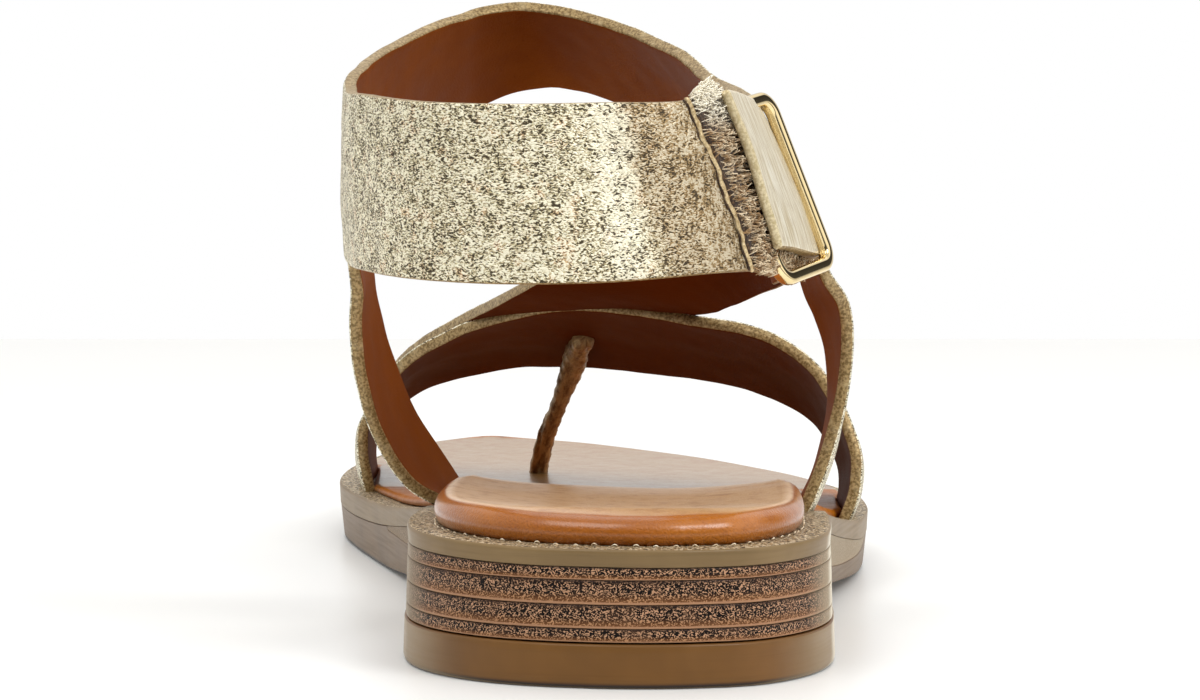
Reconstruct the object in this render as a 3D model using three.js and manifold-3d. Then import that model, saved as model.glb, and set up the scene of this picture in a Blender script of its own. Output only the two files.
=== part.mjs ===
// Flat strappy sandal, right foot. Millimetres, +X lateral, +Y toe, +Z up.
// The sole tables start at the back of the heel (y 0) and stand on z 0.
import * as THREE from 'three';
import Module from 'manifold-3d';

const wasm = await Module();
wasm.setup();
const { Manifold, Mesh } = wasm;

// ---------------------------------------------------------------- sizes
const GAP = 0.3;               // clearance between neighbouring pieces
const STRAP = 1.9;             // leather and lining together
const RIM = 4.0;               // rand rim outside the insole
const HEEL_BREAST = 64;        // front of the heel block
const WEDGE_TIP = 130;         // where the shank wedge runs out
const LIFT_2 = 14.3;           // top of lift 2
const LIFT_3 = 11.05;          // top of lift 3
const LIFT_4 = 7.9;            // top of lift 4
const TIP_TOP = 6.1;           // top of the heel tip
const HEEL_FLARE = 0.5;        // heel wider at the floor than at the rand
const BAR = 1.0;               // half thickness of the ring's bar
const RING_CORNER = 2.6;       // bend radius of the ring
const CENTRE = { x: 3.185, y: -122.708 };   // puts the origin under the middle of the box

// Sole outline and heights: medial and lateral edge, rand top at each edge,
// rand thickness, wedge thickness, tread height, insole thickness at its edge and middle.
const SOLE = [
  { y: -1.3,  xm: -3.2,  xl: 9.0,   zm: 18.4, zl: 18.3, rand: 2.4, wedge: 1.6, tread: 0.0, pad: 3.7, mid: 4.2 },
  { y: 0.8,   xm: -10.8, xl: 16.2,  zm: 18.4, zl: 18.3, rand: 2.4, wedge: 1.6, tread: 0.0, pad: 3.9, mid: 4.4 },
  { y: 5.2,   xm: -18.2, xl: 21.3,  zm: 18.5, zl: 18.3, rand: 2.4, wedge: 1.6, tread: 0.0, pad: 4.1, mid: 4.4 },
  { y: 12.5,  xm: -24.4, xl: 25.7,  zm: 18.6, zl: 18.3, rand: 2.4, wedge: 1.6, tread: 0.0, pad: 4.2, mid: 3.6 },
  { y: 22.0,  xm: -28.1, xl: 28.4,  zm: 18.6, zl: 18.3, rand: 2.4, wedge: 1.6, tread: 0.0, pad: 4.1, mid: 2.7 },
  { y: 34.0,  xm: -29.3, xl: 29.3,  zm: 18.5, zl: 18.3, rand: 2.5, wedge: 1.6, tread: 0.0, pad: 4.2, mid: 2.4 },
  { y: 49.0,  xm: -28.8, xl: 29.6,  zm: 18.2, zl: 17.9, rand: 2.7, wedge: 3.2, tread: 8.5, pad: 4.4, mid: 2.6 },
  { y: 65.0,  xm: -28.0, xl: 30.0,  zm: 17.3, zl: 16.6, rand: 2.8, wedge: 5.6, tread: 5.4, pad: 4.5, mid: 3.0 },
  { y: 81.0,  xm: -28.0, xl: 31.4,  zm: 15.7, zl: 14.4, rand: 2.8, wedge: 4.9, tread: 3.8, pad: 3.6, mid: 2.8 },
  { y: 98.0,  xm: -30.2, xl: 34.2,  zm: 13.7, zl: 12.0, rand: 2.9, wedge: 3.9, tread: 2.4, pad: 2.4, mid: 1.9 },
  { y: 116.0, xm: -33.6, xl: 37.6,  zm: 11.9, zl: 9.9,  rand: 3.0, wedge: 2.1, tread: 1.3, pad: 1.6, mid: 1.5 },
  { y: 133.0, xm: -37.0, xl: 39.5,  zm: 10.5, zl: 9.2,  rand: 3.2, wedge: 0.4, tread: 0.4, pad: 1.3, mid: 1.3 },
  { y: 149.0, xm: -40.3, xl: 40.4,  zm: 9.8,  zl: 9.1,  rand: 3.5, wedge: 0.0, tread: 0.0, pad: 1.2, mid: 1.2 },
  { y: 166.0, xm: -43.8, xl: 39.4,  zm: 9.4,  zl: 9.1,  rand: 3.6, wedge: 0.0, tread: 0.0, pad: 1.2, mid: 1.2 },
  { y: 183.0, xm: -46.4, xl: 34.6,  zm: 9.3,  zl: 9.2,  rand: 3.6, wedge: 0.0, tread: 0.0, pad: 1.2, mid: 1.2 },
  { y: 199.0, xm: -46.6, xl: 27.4,  zm: 9.4,  zl: 9.3,  rand: 3.6, wedge: 0.0, tread: 0.3, pad: 1.2, mid: 1.1 },
  { y: 214.0, xm: -44.8, xl: 18.9,  zm: 9.6,  zl: 9.5,  rand: 3.6, wedge: 0.0, tread: 1.0, pad: 1.2, mid: 1.0 },
  { y: 227.0, xm: -41.4, xl: 8.9,   zm: 9.9,  zl: 9.8,  rand: 3.5, wedge: 0.0, tread: 1.9, pad: 1.1, mid: 1.0 },
  { y: 237.5, xm: -36.6, xl: -2.4,  zm: 10.2, zl: 10.2, rand: 3.5, wedge: 0.0, tread: 2.8, pad: 1.1, mid: 1.0 },
  { y: 244.2, xm: -31.0, xl: -12.4, zm: 10.5, zl: 10.5, rand: 3.5, wedge: 0.0, tread: 3.4, pad: 1.0, mid: 0.9 },
  { y: 247.2, xm: -26.2, xl: -18.4, zm: 10.7, zl: 10.7, rand: 3.4, wedge: 0.0, tread: 3.8, pad: 1.0, mid: 0.9 },
];

// Strap sections: rear or upper edge (a), front or lower edge (b), both on the
// outer face, and t, the thickness. A row per section.
const VAMP = [                      // medial sole to lateral sole
  { ax: -40.6, ay: 165.5, az: 6.4,  bx: -41.2, by: 199.0, bz: 6.4 },
  { ax: -42.0, ay: 164.8, az: 11.6, bx: -42.6, by: 199.4, bz: 11.0 },
  { ax: -42.5, ay: 163.0, az: 17.5, bx: -42.4, by: 198.4, bz: 16.4 },
  { ax: -41.3, ay: 161.0, az: 22.4, bx: -40.2, by: 196.2, bz: 20.4 },
  { ax: -34.9, ay: 156.0, az: 32.1, bx: -33.4, by: 191.0, bz: 25.7 },
  { ax: -23.6, ay: 148.0, az: 38.7, bx: -22.6, by: 184.5, bz: 29.3 },
  { ax: -7.3,  ay: 140.0, az: 42.6, bx: -8.6,  by: 177.5, bz: 30.9 },
  { ax: 11.4,  ay: 131.2, az: 40.9, bx: 12.0,  by: 167.5, bz: 29.8 },
  { ax: 22.6,  ay: 126.0, az: 39.0, bx: 24.0,  by: 160.5, bz: 27.6 },
  { ax: 31.9,  ay: 121.5, az: 32.9, bx: 32.8,  by: 154.8, bz: 23.2 },
  { ax: 37.3,  ay: 117.5, az: 22.4, bx: 37.2,  by: 151.6, bz: 16.4 },
  { ax: 37.7,  ay: 116.0, az: 15.6, bx: 37.7,  by: 150.4, bz: 11.6 },
  { ax: 35.6,  ay: 115.0, az: 9.0,  bx: 36.2,  by: 150.0, bz: 6.0 },
];
const INSTEP = [                    // lateral ankle and over the instep
  { ax: 25.0, ay: 60.0,  az: 66.5, bx: 27.4, by: 69.0,  bz: 53.6 },
  { ax: 24.0, ay: 74.0,  az: 65.2, bx: 27.4, by: 77.0,  bz: 50.6 },
  { ax: 18.4, ay: 90.0,  az: 64.4, bx: 25.6, by: 90.0,  bz: 48.2 },
  { ax: 7.6,  ay: 104.0, az: 59.8, bx: 22.0, by: 105.0, bz: 46.4 },
  { ax: -5.4, ay: 116.6, az: 52.0, bx: 17.9, by: 117.6, bz: 44.4 },
  { ax: -15.6, ay: 130.0, az: 45.6, bx: 14.9, by: 126.6, bz: 43.0 },
];
const INSTEP_ON_VAMP = [            // row (u) and share of the width (v) of each edge on the vamp strap
  { au: 5.0, av: 0.02, bu: 6.86, bv: 0.12 },
  { au: 4.32, av: 0.26, bu: 6.3, bv: 0.4 },
  { au: 3.75, av: 0.56, bu: 5.75, bv: 0.68 },
  { au: 3.4, av: 0.96, bu: 5.25, bv: 0.96 },
];
const MEDIAL_SIDE = [               // sole to ankle cuff
  { ax: -22.9, ay: 60.4, az: 15.6, bx: -22.5, by: 85.0, bz: 13.4 },
  { ax: -25.4, ay: 60.0, az: 17.3, bx: -24.6, by: 84.8, bz: 17.6 },
  { ax: -30.3, ay: 58.0, az: 20.6, bx: -28.8, by: 80.8, bz: 24.8 },
  { ax: -34.1, ay: 55.0, az: 26.2, bx: -32.2, by: 76.8, bz: 31.4 },
  { ax: -36.8, ay: 51.4, az: 34.4, bx: -34.8, by: 72.8, bz: 39.2 },
  { ax: -37.8, ay: 48.4, az: 43.4, bx: -36.6, by: 69.4, bz: 46.6 },
  { ax: -37.5, ay: 46.4, az: 51.4, bx: -37.1, by: 67.6, bz: 53.2 },
  { ax: -36.6, ay: 45.4, az: 61.4, bx: -37.3, by: 66.8, bz: 62.4 },
];
const LATERAL_SIDE = [              // sole to ankle cuff
  { ax: 24.9, ay: 54.2, az: 15.6, bx: 26.1, by: 78.6, bz: 13.2 },
  { ax: 27.1, ay: 54.0, az: 17.5, bx: 28.2, by: 78.6, bz: 16.4 },
  { ax: 29.5, ay: 54.8, az: 22.8, bx: 30.6, by: 78.4, bz: 22.4 },
  { ax: 32.2, ay: 56.2, az: 31.2, bx: 32.4, by: 78.0, bz: 31.2 },
  { ax: 33.4, ay: 56.6, az: 40.0, bx: 32.0, by: 76.6, bz: 38.6 },
  { ax: 32.9, ay: 54.6, az: 47.2, bx: 30.2, by: 75.0, bz: 44.4 },
  { ax: 30.0, ay: 49.6, az: 52.2, bx: 28.2, by: 73.4, bz: 49.4 },
  { ax: 26.7, ay: 46.6, az: 59.6, bx: 25.9, by: 70.0, bz: 60.0 },
];
// Ankle loop: the front cuff runs from its lateral tip round the front to the
// medial side, the back band from there round the heel to its tip inside.
const FRONT_CUFF = [
  { ax: 14.2, ay: 11.2, az: 78.4, bx: 21.4, by: 14.0, bz: 57.2, t: 1.35 },
  { ax: 17.0, ay: 19.6, az: 77.6, bx: 25.0, by: 22.4, bz: 56.2, t: 1.6 },
  { ax: 18.6, ay: 30.4, az: 76.9, bx: 27.7, by: 32.4, bz: 55.2 },
  { ax: 16.8, ay: 46.0, az: 78.0, bx: 29.0, by: 46.0, bz: 55.8 },
  { ax: 14.0, ay: 60.0, az: 79.3, bx: 28.4, by: 61.0, bz: 57.4 },
  { ax: 9.6,  ay: 76.4, az: 83.0, bx: 24.6, by: 78.0, bz: 61.4 },
  { ax: 1.0,  ay: 90.8, az: 86.8, bx: 15.6, by: 97.0, bz: 68.2 },
  { ax: -9.6, ay: 98.0, az: 89.6, bx: -1.4, by: 110.0, bz: 76.6 },
  { ax: -16.8, ay: 98.8, az: 90.0, bx: -14.0, by: 114.0, bz: 77.7 },
  { ax: -25.1, ay: 93.0, az: 88.0, bx: -25.2, by: 108.0, bz: 72.7 },
  { ax: -33.9, ay: 77.0, az: 83.7, bx: -34.6, by: 90.0, bz: 63.4 },
  { ax: -38.2, ay: 58.0, az: 80.2, bx: -38.7, by: 66.0, bz: 56.2 },
];
const BACK_BAND = [
  { ax: -38.3, ay: 44.0, az: 77.7, bx: -38.1, by: 44.0, bz: 53.5 },
  { ax: -35.6, ay: 24.0, az: 77.4, bx: -34.8, by: 25.0, bz: 53.4 },
  { ax: -27.5, ay: 9.2,  az: 76.8, bx: -26.9, by: 9.2,  bz: 53.1 },
  { ax: -15.0, ay: 2.2,  az: 76.6, bx: -15.0, by: 2.2,  bz: 52.9 },
  { ax: -1.6,  ay: 1.4,  az: 76.8, bx: -0.6,  by: 1.6,  bz: 53.2 },
  { ax: 8.6,   ay: 6.4,  az: 77.0, bx: 12.6,  by: 6.8,  bz: 54.1 },
  { ax: 12.0,  ay: 14.4, az: 78.6, bx: 18.8,  by: 14.0, bz: 54.3 },
  { ax: 14.2,  ay: 24.0, az: 77.4, bx: 22.6,  by: 25.0, bz: 53.6 },
  { ax: 14.8,  ay: 34.0, az: 75.8, bx: 24.0,  by: 36.0, bz: 52.4 },
  { ax: 13.8,  ay: 43.0, az: 74.0, bx: 23.2,  by: 46.0, bz: 51.0 },
];
const PATCH_FROM = 5.35;            // row position where the loop patch starts
const PATCH_TO = 8.1;
const PATCH = 0.9;                  // pile height over the band

// Centre line and radius of the toe post.
const POST = [
  { x: -5.0,  y: 158.0, z: 35.6, r: 1.7 },
  { x: -6.2,  y: 164.0, z: 33.0, r: 2.0 },
  { x: -7.6,  y: 170.4, z: 28.4, r: 1.8 },
  { x: -9.7,  y: 177.0, z: 22.4, r: 1.45 },
  { x: -11.7, y: 182.6, z: 17.0, r: 1.4 },
  { x: -13.1, y: 187.6, z: 10.6, r: 1.6 },
  { x: -13.4, y: 189.0, z: 7.4,  r: 1.6 },
];

// Corners of the ring on its bar's centre line.
const RING = {
  rearLow: { x: 21.8, y: 18.0, z: 52.5 },
  frontLow: { x: 28.9, y: 31.5, z: 54.3 },
  frontHigh: { x: 20.1, y: 29.5, z: 76.9 },
  rearHigh: { x: 13.0, y: 16.0, z: 75.1 },
};

// ---------------------------------------------------------------- helpers
const V = (x, y, z) => new THREE.Vector3(x, y, z);

function column(rows, key, u, fallback) {
  const n = rows.length - 1;
  const i = Math.min(Math.max(Math.floor(u), 0), n - 1);
  const f = u - i;
  const at = (k) => {
    const row = rows[Math.min(Math.max(k, 0), n)];
    return row[key] === undefined ? fallback : row[key];
  };
  const p1 = at(i), p2 = at(i + 1);
  const p0 = i > 0 ? at(i - 1) : 2 * p1 - p2;
  const p3 = i < n - 1 ? at(i + 2) : 2 * p2 - p1;
  const a = -0.5 * p0 + 1.5 * p1 - 1.5 * p2 + 0.5 * p3;
  const b = p0 - 2.5 * p1 + 2 * p2 - 0.5 * p3;
  const c = -0.5 * p0 + 0.5 * p2;
  return ((a * f + b) * f + c) * f + p1;
}

function toManifold(points, faces) {
  const tri = [];
  for (const f of faces) {
    for (let k = 1; k < f.length - 1; k++) tri.push([f[0], f[k], f[k + 1]]);
  }
  let volume = 0;
  for (const [a, b, c] of tri) {
    volume += points[a].dot(points[b].clone().cross(points[c]));
  }
  const vert = new Float32Array(points.length * 3);
  points.forEach((p, i) => { vert[3 * i] = p.x; vert[3 * i + 1] = p.y; vert[3 * i + 2] = p.z; });
  const idx = new Uint32Array(tri.length * 3);
  tri.forEach(([a, b, c], i) => idx.set(volume > 0 ? [a, b, c] : [a, c, b], 3 * i));
  const mesh = new Mesh({ numProp: 3, vertProperties: vert, triVerts: idx });
  mesh.merge();
  return new Manifold(mesh);
}

// Solid between two grids of points with the same rows and columns.
function slab(top, bottom) {
  const K = top.length, M = top[0].length, points = [], faces = [];
  for (const grid of [top, bottom]) for (const row of grid) for (const p of row) points.push(p);
  const T = (k, j) => k * M + j;
  const B = (k, j) => K * M + k * M + j;
  for (let k = 0; k < K - 1; k++) {
    for (let j = 0; j < M - 1; j++) {
      faces.push([T(k, j), T(k + 1, j), T(k + 1, j + 1), T(k, j + 1)]);
      faces.push([B(k, j), B(k, j + 1), B(k + 1, j + 1), B(k + 1, j)]);
    }
    faces.push([T(k, 0), B(k, 0), B(k + 1, 0), T(k + 1, 0)]);
    faces.push([T(k, M - 1), T(k + 1, M - 1), B(k + 1, M - 1), B(k, M - 1)]);
  }
  for (let j = 0; j < M - 1; j++) {
    faces.push([T(0, j), T(0, j + 1), B(0, j + 1), B(0, j)]);
    faces.push([T(K - 1, j), B(K - 1, j), B(K - 1, j + 1), T(K - 1, j + 1)]);
  }
  return toManifold(points, faces);
}

// Point and outward normal of a strap's outer face at row position u and share
// v of the width, with crown, the height of its curve across the width.
const edgeAt = (rows, key, u) => V(column(rows, key + 'x', u), column(rows, key + 'y', u), column(rows, key + 'z', u));
function face(rows, u, v, crown, middle) {
  const u0 = Math.max(0, u - 0.05), u1 = Math.min(rows.length - 1, u + 0.05);
  const a = edgeAt(rows, 'a', u), b = edgeAt(rows, 'b', u);
  const wide = b.clone().sub(a).normalize();
  const along = edgeAt(rows, 'a', u1).lerp(edgeAt(rows, 'b', u1), v)
    .sub(edgeAt(rows, 'a', u0).lerp(edgeAt(rows, 'b', u0), v)).normalize();
  const n = along.clone().cross(wide).normalize();
  if (n.dot(a.clone().lerp(b, 0.5).sub(middle)) < 0) n.negate();
  const p = a.lerp(b, v).addScaledVector(n, crown * 4 * v * (1 - v));
  return { p, n, wide, along };
}

// Strap with real thickness from a table of sections around the point middle.
// lift moves the outer face out, grow widens every face for a slot.
function strap(rows, middle, { from = 0, to = rows.length - 1, steps = 3, across = 3, crown = 0.5, lift = 0, thick, grow = 0 } = {}) {
  const count = Math.max(2, Math.round((to - from) * steps));
  const outer = [], inner = [];
  for (let k = 0; k <= count; k++) {
    const u = from + (to - from) * k / count;
    const t = thick ?? column(rows, 't', u, STRAP);
    const end = k === 0 ? -grow : k === count ? grow : 0;
    const rowOut = [], rowIn = [];
    for (let j = 0; j <= across; j++) {
      const v = j / across;
      const { p, n, wide, along } = face(rows, u, v, crown, middle);
      p.addScaledVector(n, lift + grow).addScaledVector(along, end);
      if (j === 0) p.addScaledVector(wide, -grow);
      if (j === across) p.addScaledVector(wide, grow);
      rowOut.push(p);
      rowIn.push(p.clone().addScaledVector(n, -(t + 2 * grow)));
    }
    outer.push(rowOut);
    inner.push(rowIn);
  }
  return slab(outer, inner);
}

// Round tube along a list of points with a radius each.
function tube(path, radii, sides, closed) {
  const points = [], faces = [], n = path.length;
  let ref = null;
  for (let i = 0; i < n; i++) {
    const prev = path[closed ? (i + n - 1) % n : Math.max(i - 1, 0)];
    const next = path[closed ? (i + 1) % n : Math.min(i + 1, n - 1)];
    const dir = next.clone().sub(prev).normalize();
    if (!ref) ref = Math.abs(dir.x) < 0.8 ? V(1, 0, 0) : V(0, 1, 0);
    const u = ref.clone().addScaledVector(dir, -ref.dot(dir)).normalize();
    ref = u;
    const w = dir.clone().cross(u);
    for (let k = 0; k < sides; k++) {
      const a = (k + 0.5) / sides * 2 * Math.PI;
      points.push(path[i].clone().addScaledVector(u, radii[i] * Math.cos(a)).addScaledVector(w, radii[i] * Math.sin(a)));
    }
  }
  const last = closed ? n : n - 1;
  for (let i = 0; i < last; i++) {
    const j = (i + 1) % n;
    for (let k = 0; k < sides; k++) {
      const l = (k + 1) % sides;
      faces.push([i * sides + k, i * sides + l, j * sides + l, j * sides + k]);
    }
  }
  if (!closed) {
    const first = [], end = [];
    for (let k = 0; k < sides; k++) { first.unshift(k); end.push((n - 1) * sides + k); }
    faces.push(first, end);
  }
  return toManifold(points, faces);
}

function ringBody(grow) {
  const c = [RING.rearLow, RING.frontLow, RING.frontHigh, RING.rearHigh].map((p) => V(p.x, p.y, p.z));
  const path = [];
  for (let i = 0; i < 4; i++) {
    const p = c[i], back = c[(i + 3) % 4].clone().sub(p).normalize(), on = c[(i + 1) % 4].clone().sub(p).normalize();
    const centre = p.clone().addScaledVector(back, RING_CORNER).addScaledVector(on, RING_CORNER);
    for (let k = 0; k <= 4; k++) {
      const a = k / 4 * Math.PI / 2;
      path.push(centre.clone().addScaledVector(on, -RING_CORNER * Math.cos(a)).addScaledVector(back, -RING_CORNER * Math.sin(a)));
    }
  }
  return tube(path, path.map(() => BAR + grow), 8, true);
}

// Plate of the sole between two heights, each a function of the row position
// and of v, which runs from the medial edge (0) to the lateral edge (1).
function plate({ from = 0, to = SOLE.length - 1, steps = 3, across = 4, inset = 0, insetLow = 0, high, low }) {
  const count = Math.round((to - from) * steps);
  const top = [], bottom = [];
  for (let k = 0; k <= count; k++) {
    const u = from + (to - from) * k / count;
    const rowT = [], rowB = [];
    for (let j = 0; j <= across; j++) {
      const v = j / across;
      rowT.push(V(...planPoint(u, v, inset), high(u, v)));
      rowB.push(V(...planPoint(u, v, insetLow), low(u, v)));
    }
    top.push(rowT);
    bottom.push(rowB);
  }
  return slab(top, bottom);
}

// Place in plan at row position u, moved in from the outline by inset along
// the outline's normal, so both ends are rounded with the rest.
function planPoint(u, v, inset) {
  const side = (key, sign) => {
    const h = 0.08, u0 = Math.max(0, u - h), u1 = Math.min(SOLE.length - 1, u + h);
    const dx = column(SOLE, key, u1) - column(SOLE, key, u0);
    const dy = column(SOLE, 'y', u1) - column(SOLE, 'y', u0);
    const l = Math.hypot(dx, dy);
    return [column(SOLE, key, u) - sign * dy / l * inset, column(SOLE, 'y', u) + sign * dx / l * inset];
  };
  const m = side('xm', -1), l = side('xl', 1);
  return [m[0] + (l[0] - m[0]) * v, m[1] + (l[1] - m[1]) * v];
}

const rowAt = (y) => {
  let lo = 0, hi = SOLE.length - 1;
  for (let i = 0; i < 40; i++) {
    const mid = (lo + hi) / 2;
    if (column(SOLE, 'y', mid) < y) lo = mid; else hi = mid;
  }
  return (lo + hi) / 2;
};
const col = (key) => (u) => column(SOLE, key, u);
const randTop = (u, v) => col('zm')(u) * (1 - v) + col('zl')(u) * v;
const randLow = (u, v) => randTop(u, v) - col('rand')(u);
const tread = (u) => Math.max(0, col('tread')(u));
const wedge = (u) => Math.max(0, col('wedge')(u));

// ---------------------------------------------------------------- sole
const breast = rowAt(HEEL_BREAST);
const wedgeEnd = rowAt(WEDGE_TIP);

const rand = plate({ high: randTop, low: randLow, insetLow: 0.2 });

const outsole = plate({
  from: rowAt(HEEL_BREAST + GAP), to: SOLE.length - 1, inset: 0.3, insetLow: 1.3,
  high: (u, v) => randLow(u, v) - GAP - (u < wedgeEnd ? wedge(u) + 0.0 : 0) - 0.0,
  low: (u) => tread(u),
});

const block = (inset, insetLow, high, low, to = breast) => plate({ from: 0, to, steps: 3, across: 3, inset, insetLow, high, low });
const flare = (z) => -HEEL_FLARE * (1 - z / 18.6);
const lift1 = block(0.3, 0.3, (u, v) => randLow(u, v) - GAP, (u, v) => Math.min(LIFT_2, randLow(u, v) - GAP - 0.5), rowAt(HEEL_BREAST + 2));
const shank = plate({
  from: rowAt(HEEL_BREAST + 0.15), to: wedgeEnd, inset: 0.3, insetLow: 0.4,
  high: (u, v) => randLow(u, v) - GAP,
  low: (u, v) => randLow(u, v) - GAP - Math.max(0.25, wedge(u) - GAP),
});
const heelLift1 = lift1.add(shank);
const lift2Top = (u, v) => Math.min(LIFT_2, randLow(u, v) - GAP - 0.5) - GAP;
const heelLift2 = block(0.2 + flare(LIFT_2), 0.2 + flare(LIFT_3), lift2Top, () => LIFT_3);
const heelLift3 = block(0.2 + flare(LIFT_3), 0.2 + flare(LIFT_4), () => LIFT_3, () => LIFT_4);
const heelLift4 = block(0.2 + flare(LIFT_4), 0.2 + flare(TIP_TOP), () => LIFT_4, () => TIP_TOP);
const topPiece = block(flare(TIP_TOP), flare(0), () => TIP_TOP, () => 0);

// ---------------------------------------------------------------- upper
const FOOT = V(-3, 158, 4);         // inside of the forefoot, under the vamp strap
const ANKLE = V(-9, 52, 66);        // inside of the ankle loop
const ARCH = V(-3, 100, 30);        // inside of the instep strap
const CROWN_VAMP = 0.9;
const cuff = [...FRONT_CUFF, ...BACK_BAND];
const instepRows = [...INSTEP, ...INSTEP_ON_VAMP.map(({ au, av, bu, bv }) => {
  const a = face(VAMP, au, av, CROWN_VAMP, FOOT), b = face(VAMP, bu, bv, CROWN_VAMP, FOOT);
  a.p.addScaledVector(a.n, STRAP - 0.25);
  b.p.addScaledVector(b.n, STRAP - 0.25);
  return { ax: a.p.x, ay: a.p.y, az: a.p.z, bx: b.p.x, by: b.p.y, bz: b.p.z };
})];
const vamp = strap(VAMP, FOOT, { crown: CROWN_VAMP });
const instep = strap(instepRows, ARCH, { across: 4, crown: 0.9 });
const medial = strap(MEDIAL_SIDE, V(0, 60, 40));
const lateral = strap(LATERAL_SIDE, V(0, 60, 40));
const loop = strap(cuff, ANKLE);
const ring = ringBody(0);

const upper = vamp.add(instep).add(medial).add(lateral).add(loop)
  .subtract(ringBody(GAP));

const patch = strap(BACK_BAND, ANKLE, { from: PATCH_FROM, to: PATCH_TO, lift: PATCH + GAP, thick: PATCH })
  .subtract(ringBody(GAP))
  .subtract(strap(cuff, ANKLE, { grow: GAP, to: 6 }));

// ---------------------------------------------------------------- insole and post
const cup = (v) => 1 - (2 * v - 1) ** 2;
const insoleTop = (u, v) => {
  const edge = col('pad')(u), mid = col('mid')(u);
  const shoulder = Math.min(1, Math.min(v, 1 - v) / 0.1);
  return randTop(u, v) + 0.1 + edge * (0.45 + 0.55 * shoulder) + (mid - edge) * cup(v) * shoulder;
};
const vampSlack = strap(VAMP, FOOT, { crown: CROWN_VAMP, grow: GAP });
const slots = vampSlack
  .add(strap(MEDIAL_SIDE, V(0, 60, 40), { grow: GAP }))
  .add(strap(LATERAL_SIDE, V(0, 60, 40), { grow: GAP }));
const postPath = [], postRadii = [];
for (let k = 0; k <= (POST.length - 1) * 3; k++) {
  const u = k / 3;
  postPath.push(V(column(POST, 'x', u), column(POST, 'y', u), column(POST, 'z', u)));
  postRadii.push(column(POST, 'r', u));
}
const postHole = tube(postPath, postRadii.map((r) => r + GAP), 10, false);
const toePost = tube(postPath, postRadii, 10, false).subtract(vampSlack);

const insole = plate({
  across: 9, steps: 2, inset: RIM, insetLow: RIM - 0.3,
  high: insoleTop, low: (u, v) => randTop(u, v) + 0.1,
}).subtract(slots).subtract(postHole);
const randCut = rand.subtract(slots).subtract(postHole);

// ---------------------------------------------------------------- output
function node(name, solid, colour, roughness, metalness) {
  const out = solid.getMesh();
  const pos = new Float32Array(out.numVert * 3);
  for (let i = 0; i < out.numVert; i++) {
    pos[3 * i] = out.vertProperties[out.numProp * i] + CENTRE.x;
    pos[3 * i + 1] = out.vertProperties[out.numProp * i + 1] + CENTRE.y;
    pos[3 * i + 2] = out.vertProperties[out.numProp * i + 2];
  }
  const geometry = new THREE.BufferGeometry();
  geometry.setAttribute('position', new THREE.BufferAttribute(pos, 3));
  geometry.setIndex(new THREE.BufferAttribute(new Uint32Array(out.triVerts), 1));
  geometry.computeVertexNormals();
  const mesh = new THREE.Mesh(geometry, new THREE.MeshStandardMaterial({ color: colour, roughness, metalness }));
  mesh.name = name;
  return mesh;
}

const group = new THREE.Group();
group.name = 'strap_sandal';
group.add(
  node('outsole', outsole, 0x8a7563, 0.6, 0.0),
  node('rand', randCut, 0x8f7d67, 0.6, 0.0),
  node('heel_lift_1', heelLift1, 0x5a4233, 0.7, 0.0),
  node('heel_lift_2', heelLift2, 0x6a4f3e, 0.7, 0.0),
  node('heel_lift_3', heelLift3, 0x5f4636, 0.7, 0.0),
  node('heel_lift_4', heelLift4, 0x6a4f3e, 0.7, 0.0),
  node('top_piece', topPiece, 0x7d6754, 0.6, 0.0),
  node('insole', insole, 0xb26a32, 0.4, 0.0),
  node('upper', upper, 0xcdb68a, 0.4, 0.3),
  node('toe_post', toePost, 0xa88f62, 0.5, 0.2),
  node('loop_patch', patch, 0xa8957c, 0.9, 0.0),
  node('buckle_ring', ring, 0xd9bd82, 0.2, 1.0),
);

export default group;
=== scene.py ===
"""Flat strappy sandal, right foot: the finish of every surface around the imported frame.

Tables are in millimetres with the back of the heel at y 0 and the floor at z 0;
put() moves them into the frame, in metres.
"""
import math

import bpy
import numpy as np
from mathutils import Euler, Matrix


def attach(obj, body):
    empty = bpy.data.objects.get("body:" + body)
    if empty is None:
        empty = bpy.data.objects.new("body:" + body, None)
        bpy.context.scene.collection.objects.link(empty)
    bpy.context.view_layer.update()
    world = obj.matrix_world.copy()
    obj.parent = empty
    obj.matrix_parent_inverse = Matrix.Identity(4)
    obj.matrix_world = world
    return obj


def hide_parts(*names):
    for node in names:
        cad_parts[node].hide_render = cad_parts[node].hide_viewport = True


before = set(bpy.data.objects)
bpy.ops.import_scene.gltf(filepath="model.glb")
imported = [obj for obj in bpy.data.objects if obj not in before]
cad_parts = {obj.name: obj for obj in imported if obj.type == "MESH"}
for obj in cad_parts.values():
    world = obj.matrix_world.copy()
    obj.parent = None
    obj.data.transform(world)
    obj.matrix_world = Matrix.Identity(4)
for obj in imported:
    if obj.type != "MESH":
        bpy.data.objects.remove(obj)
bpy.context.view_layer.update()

CENTRE = np.array([3.185, -122.708, 0.0])
STRAP = 1.9
RIM = 4.0
HEEL_BREAST = 64.0
WEDGE_TIP = 130.0
LIFT_2, LIFT_3, LIFT_4, TIP_TOP = 14.3, 11.05, 7.9, 6.1
HEEL_FLARE = 0.5
BAR = 1.0
RING_CORNER = 2.6


# ---------------------------------------------------------------- tables
def table(names, rows):
    data = np.array(rows, float)
    return {n: data[:, i] for i, n in enumerate(names.split())}


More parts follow.
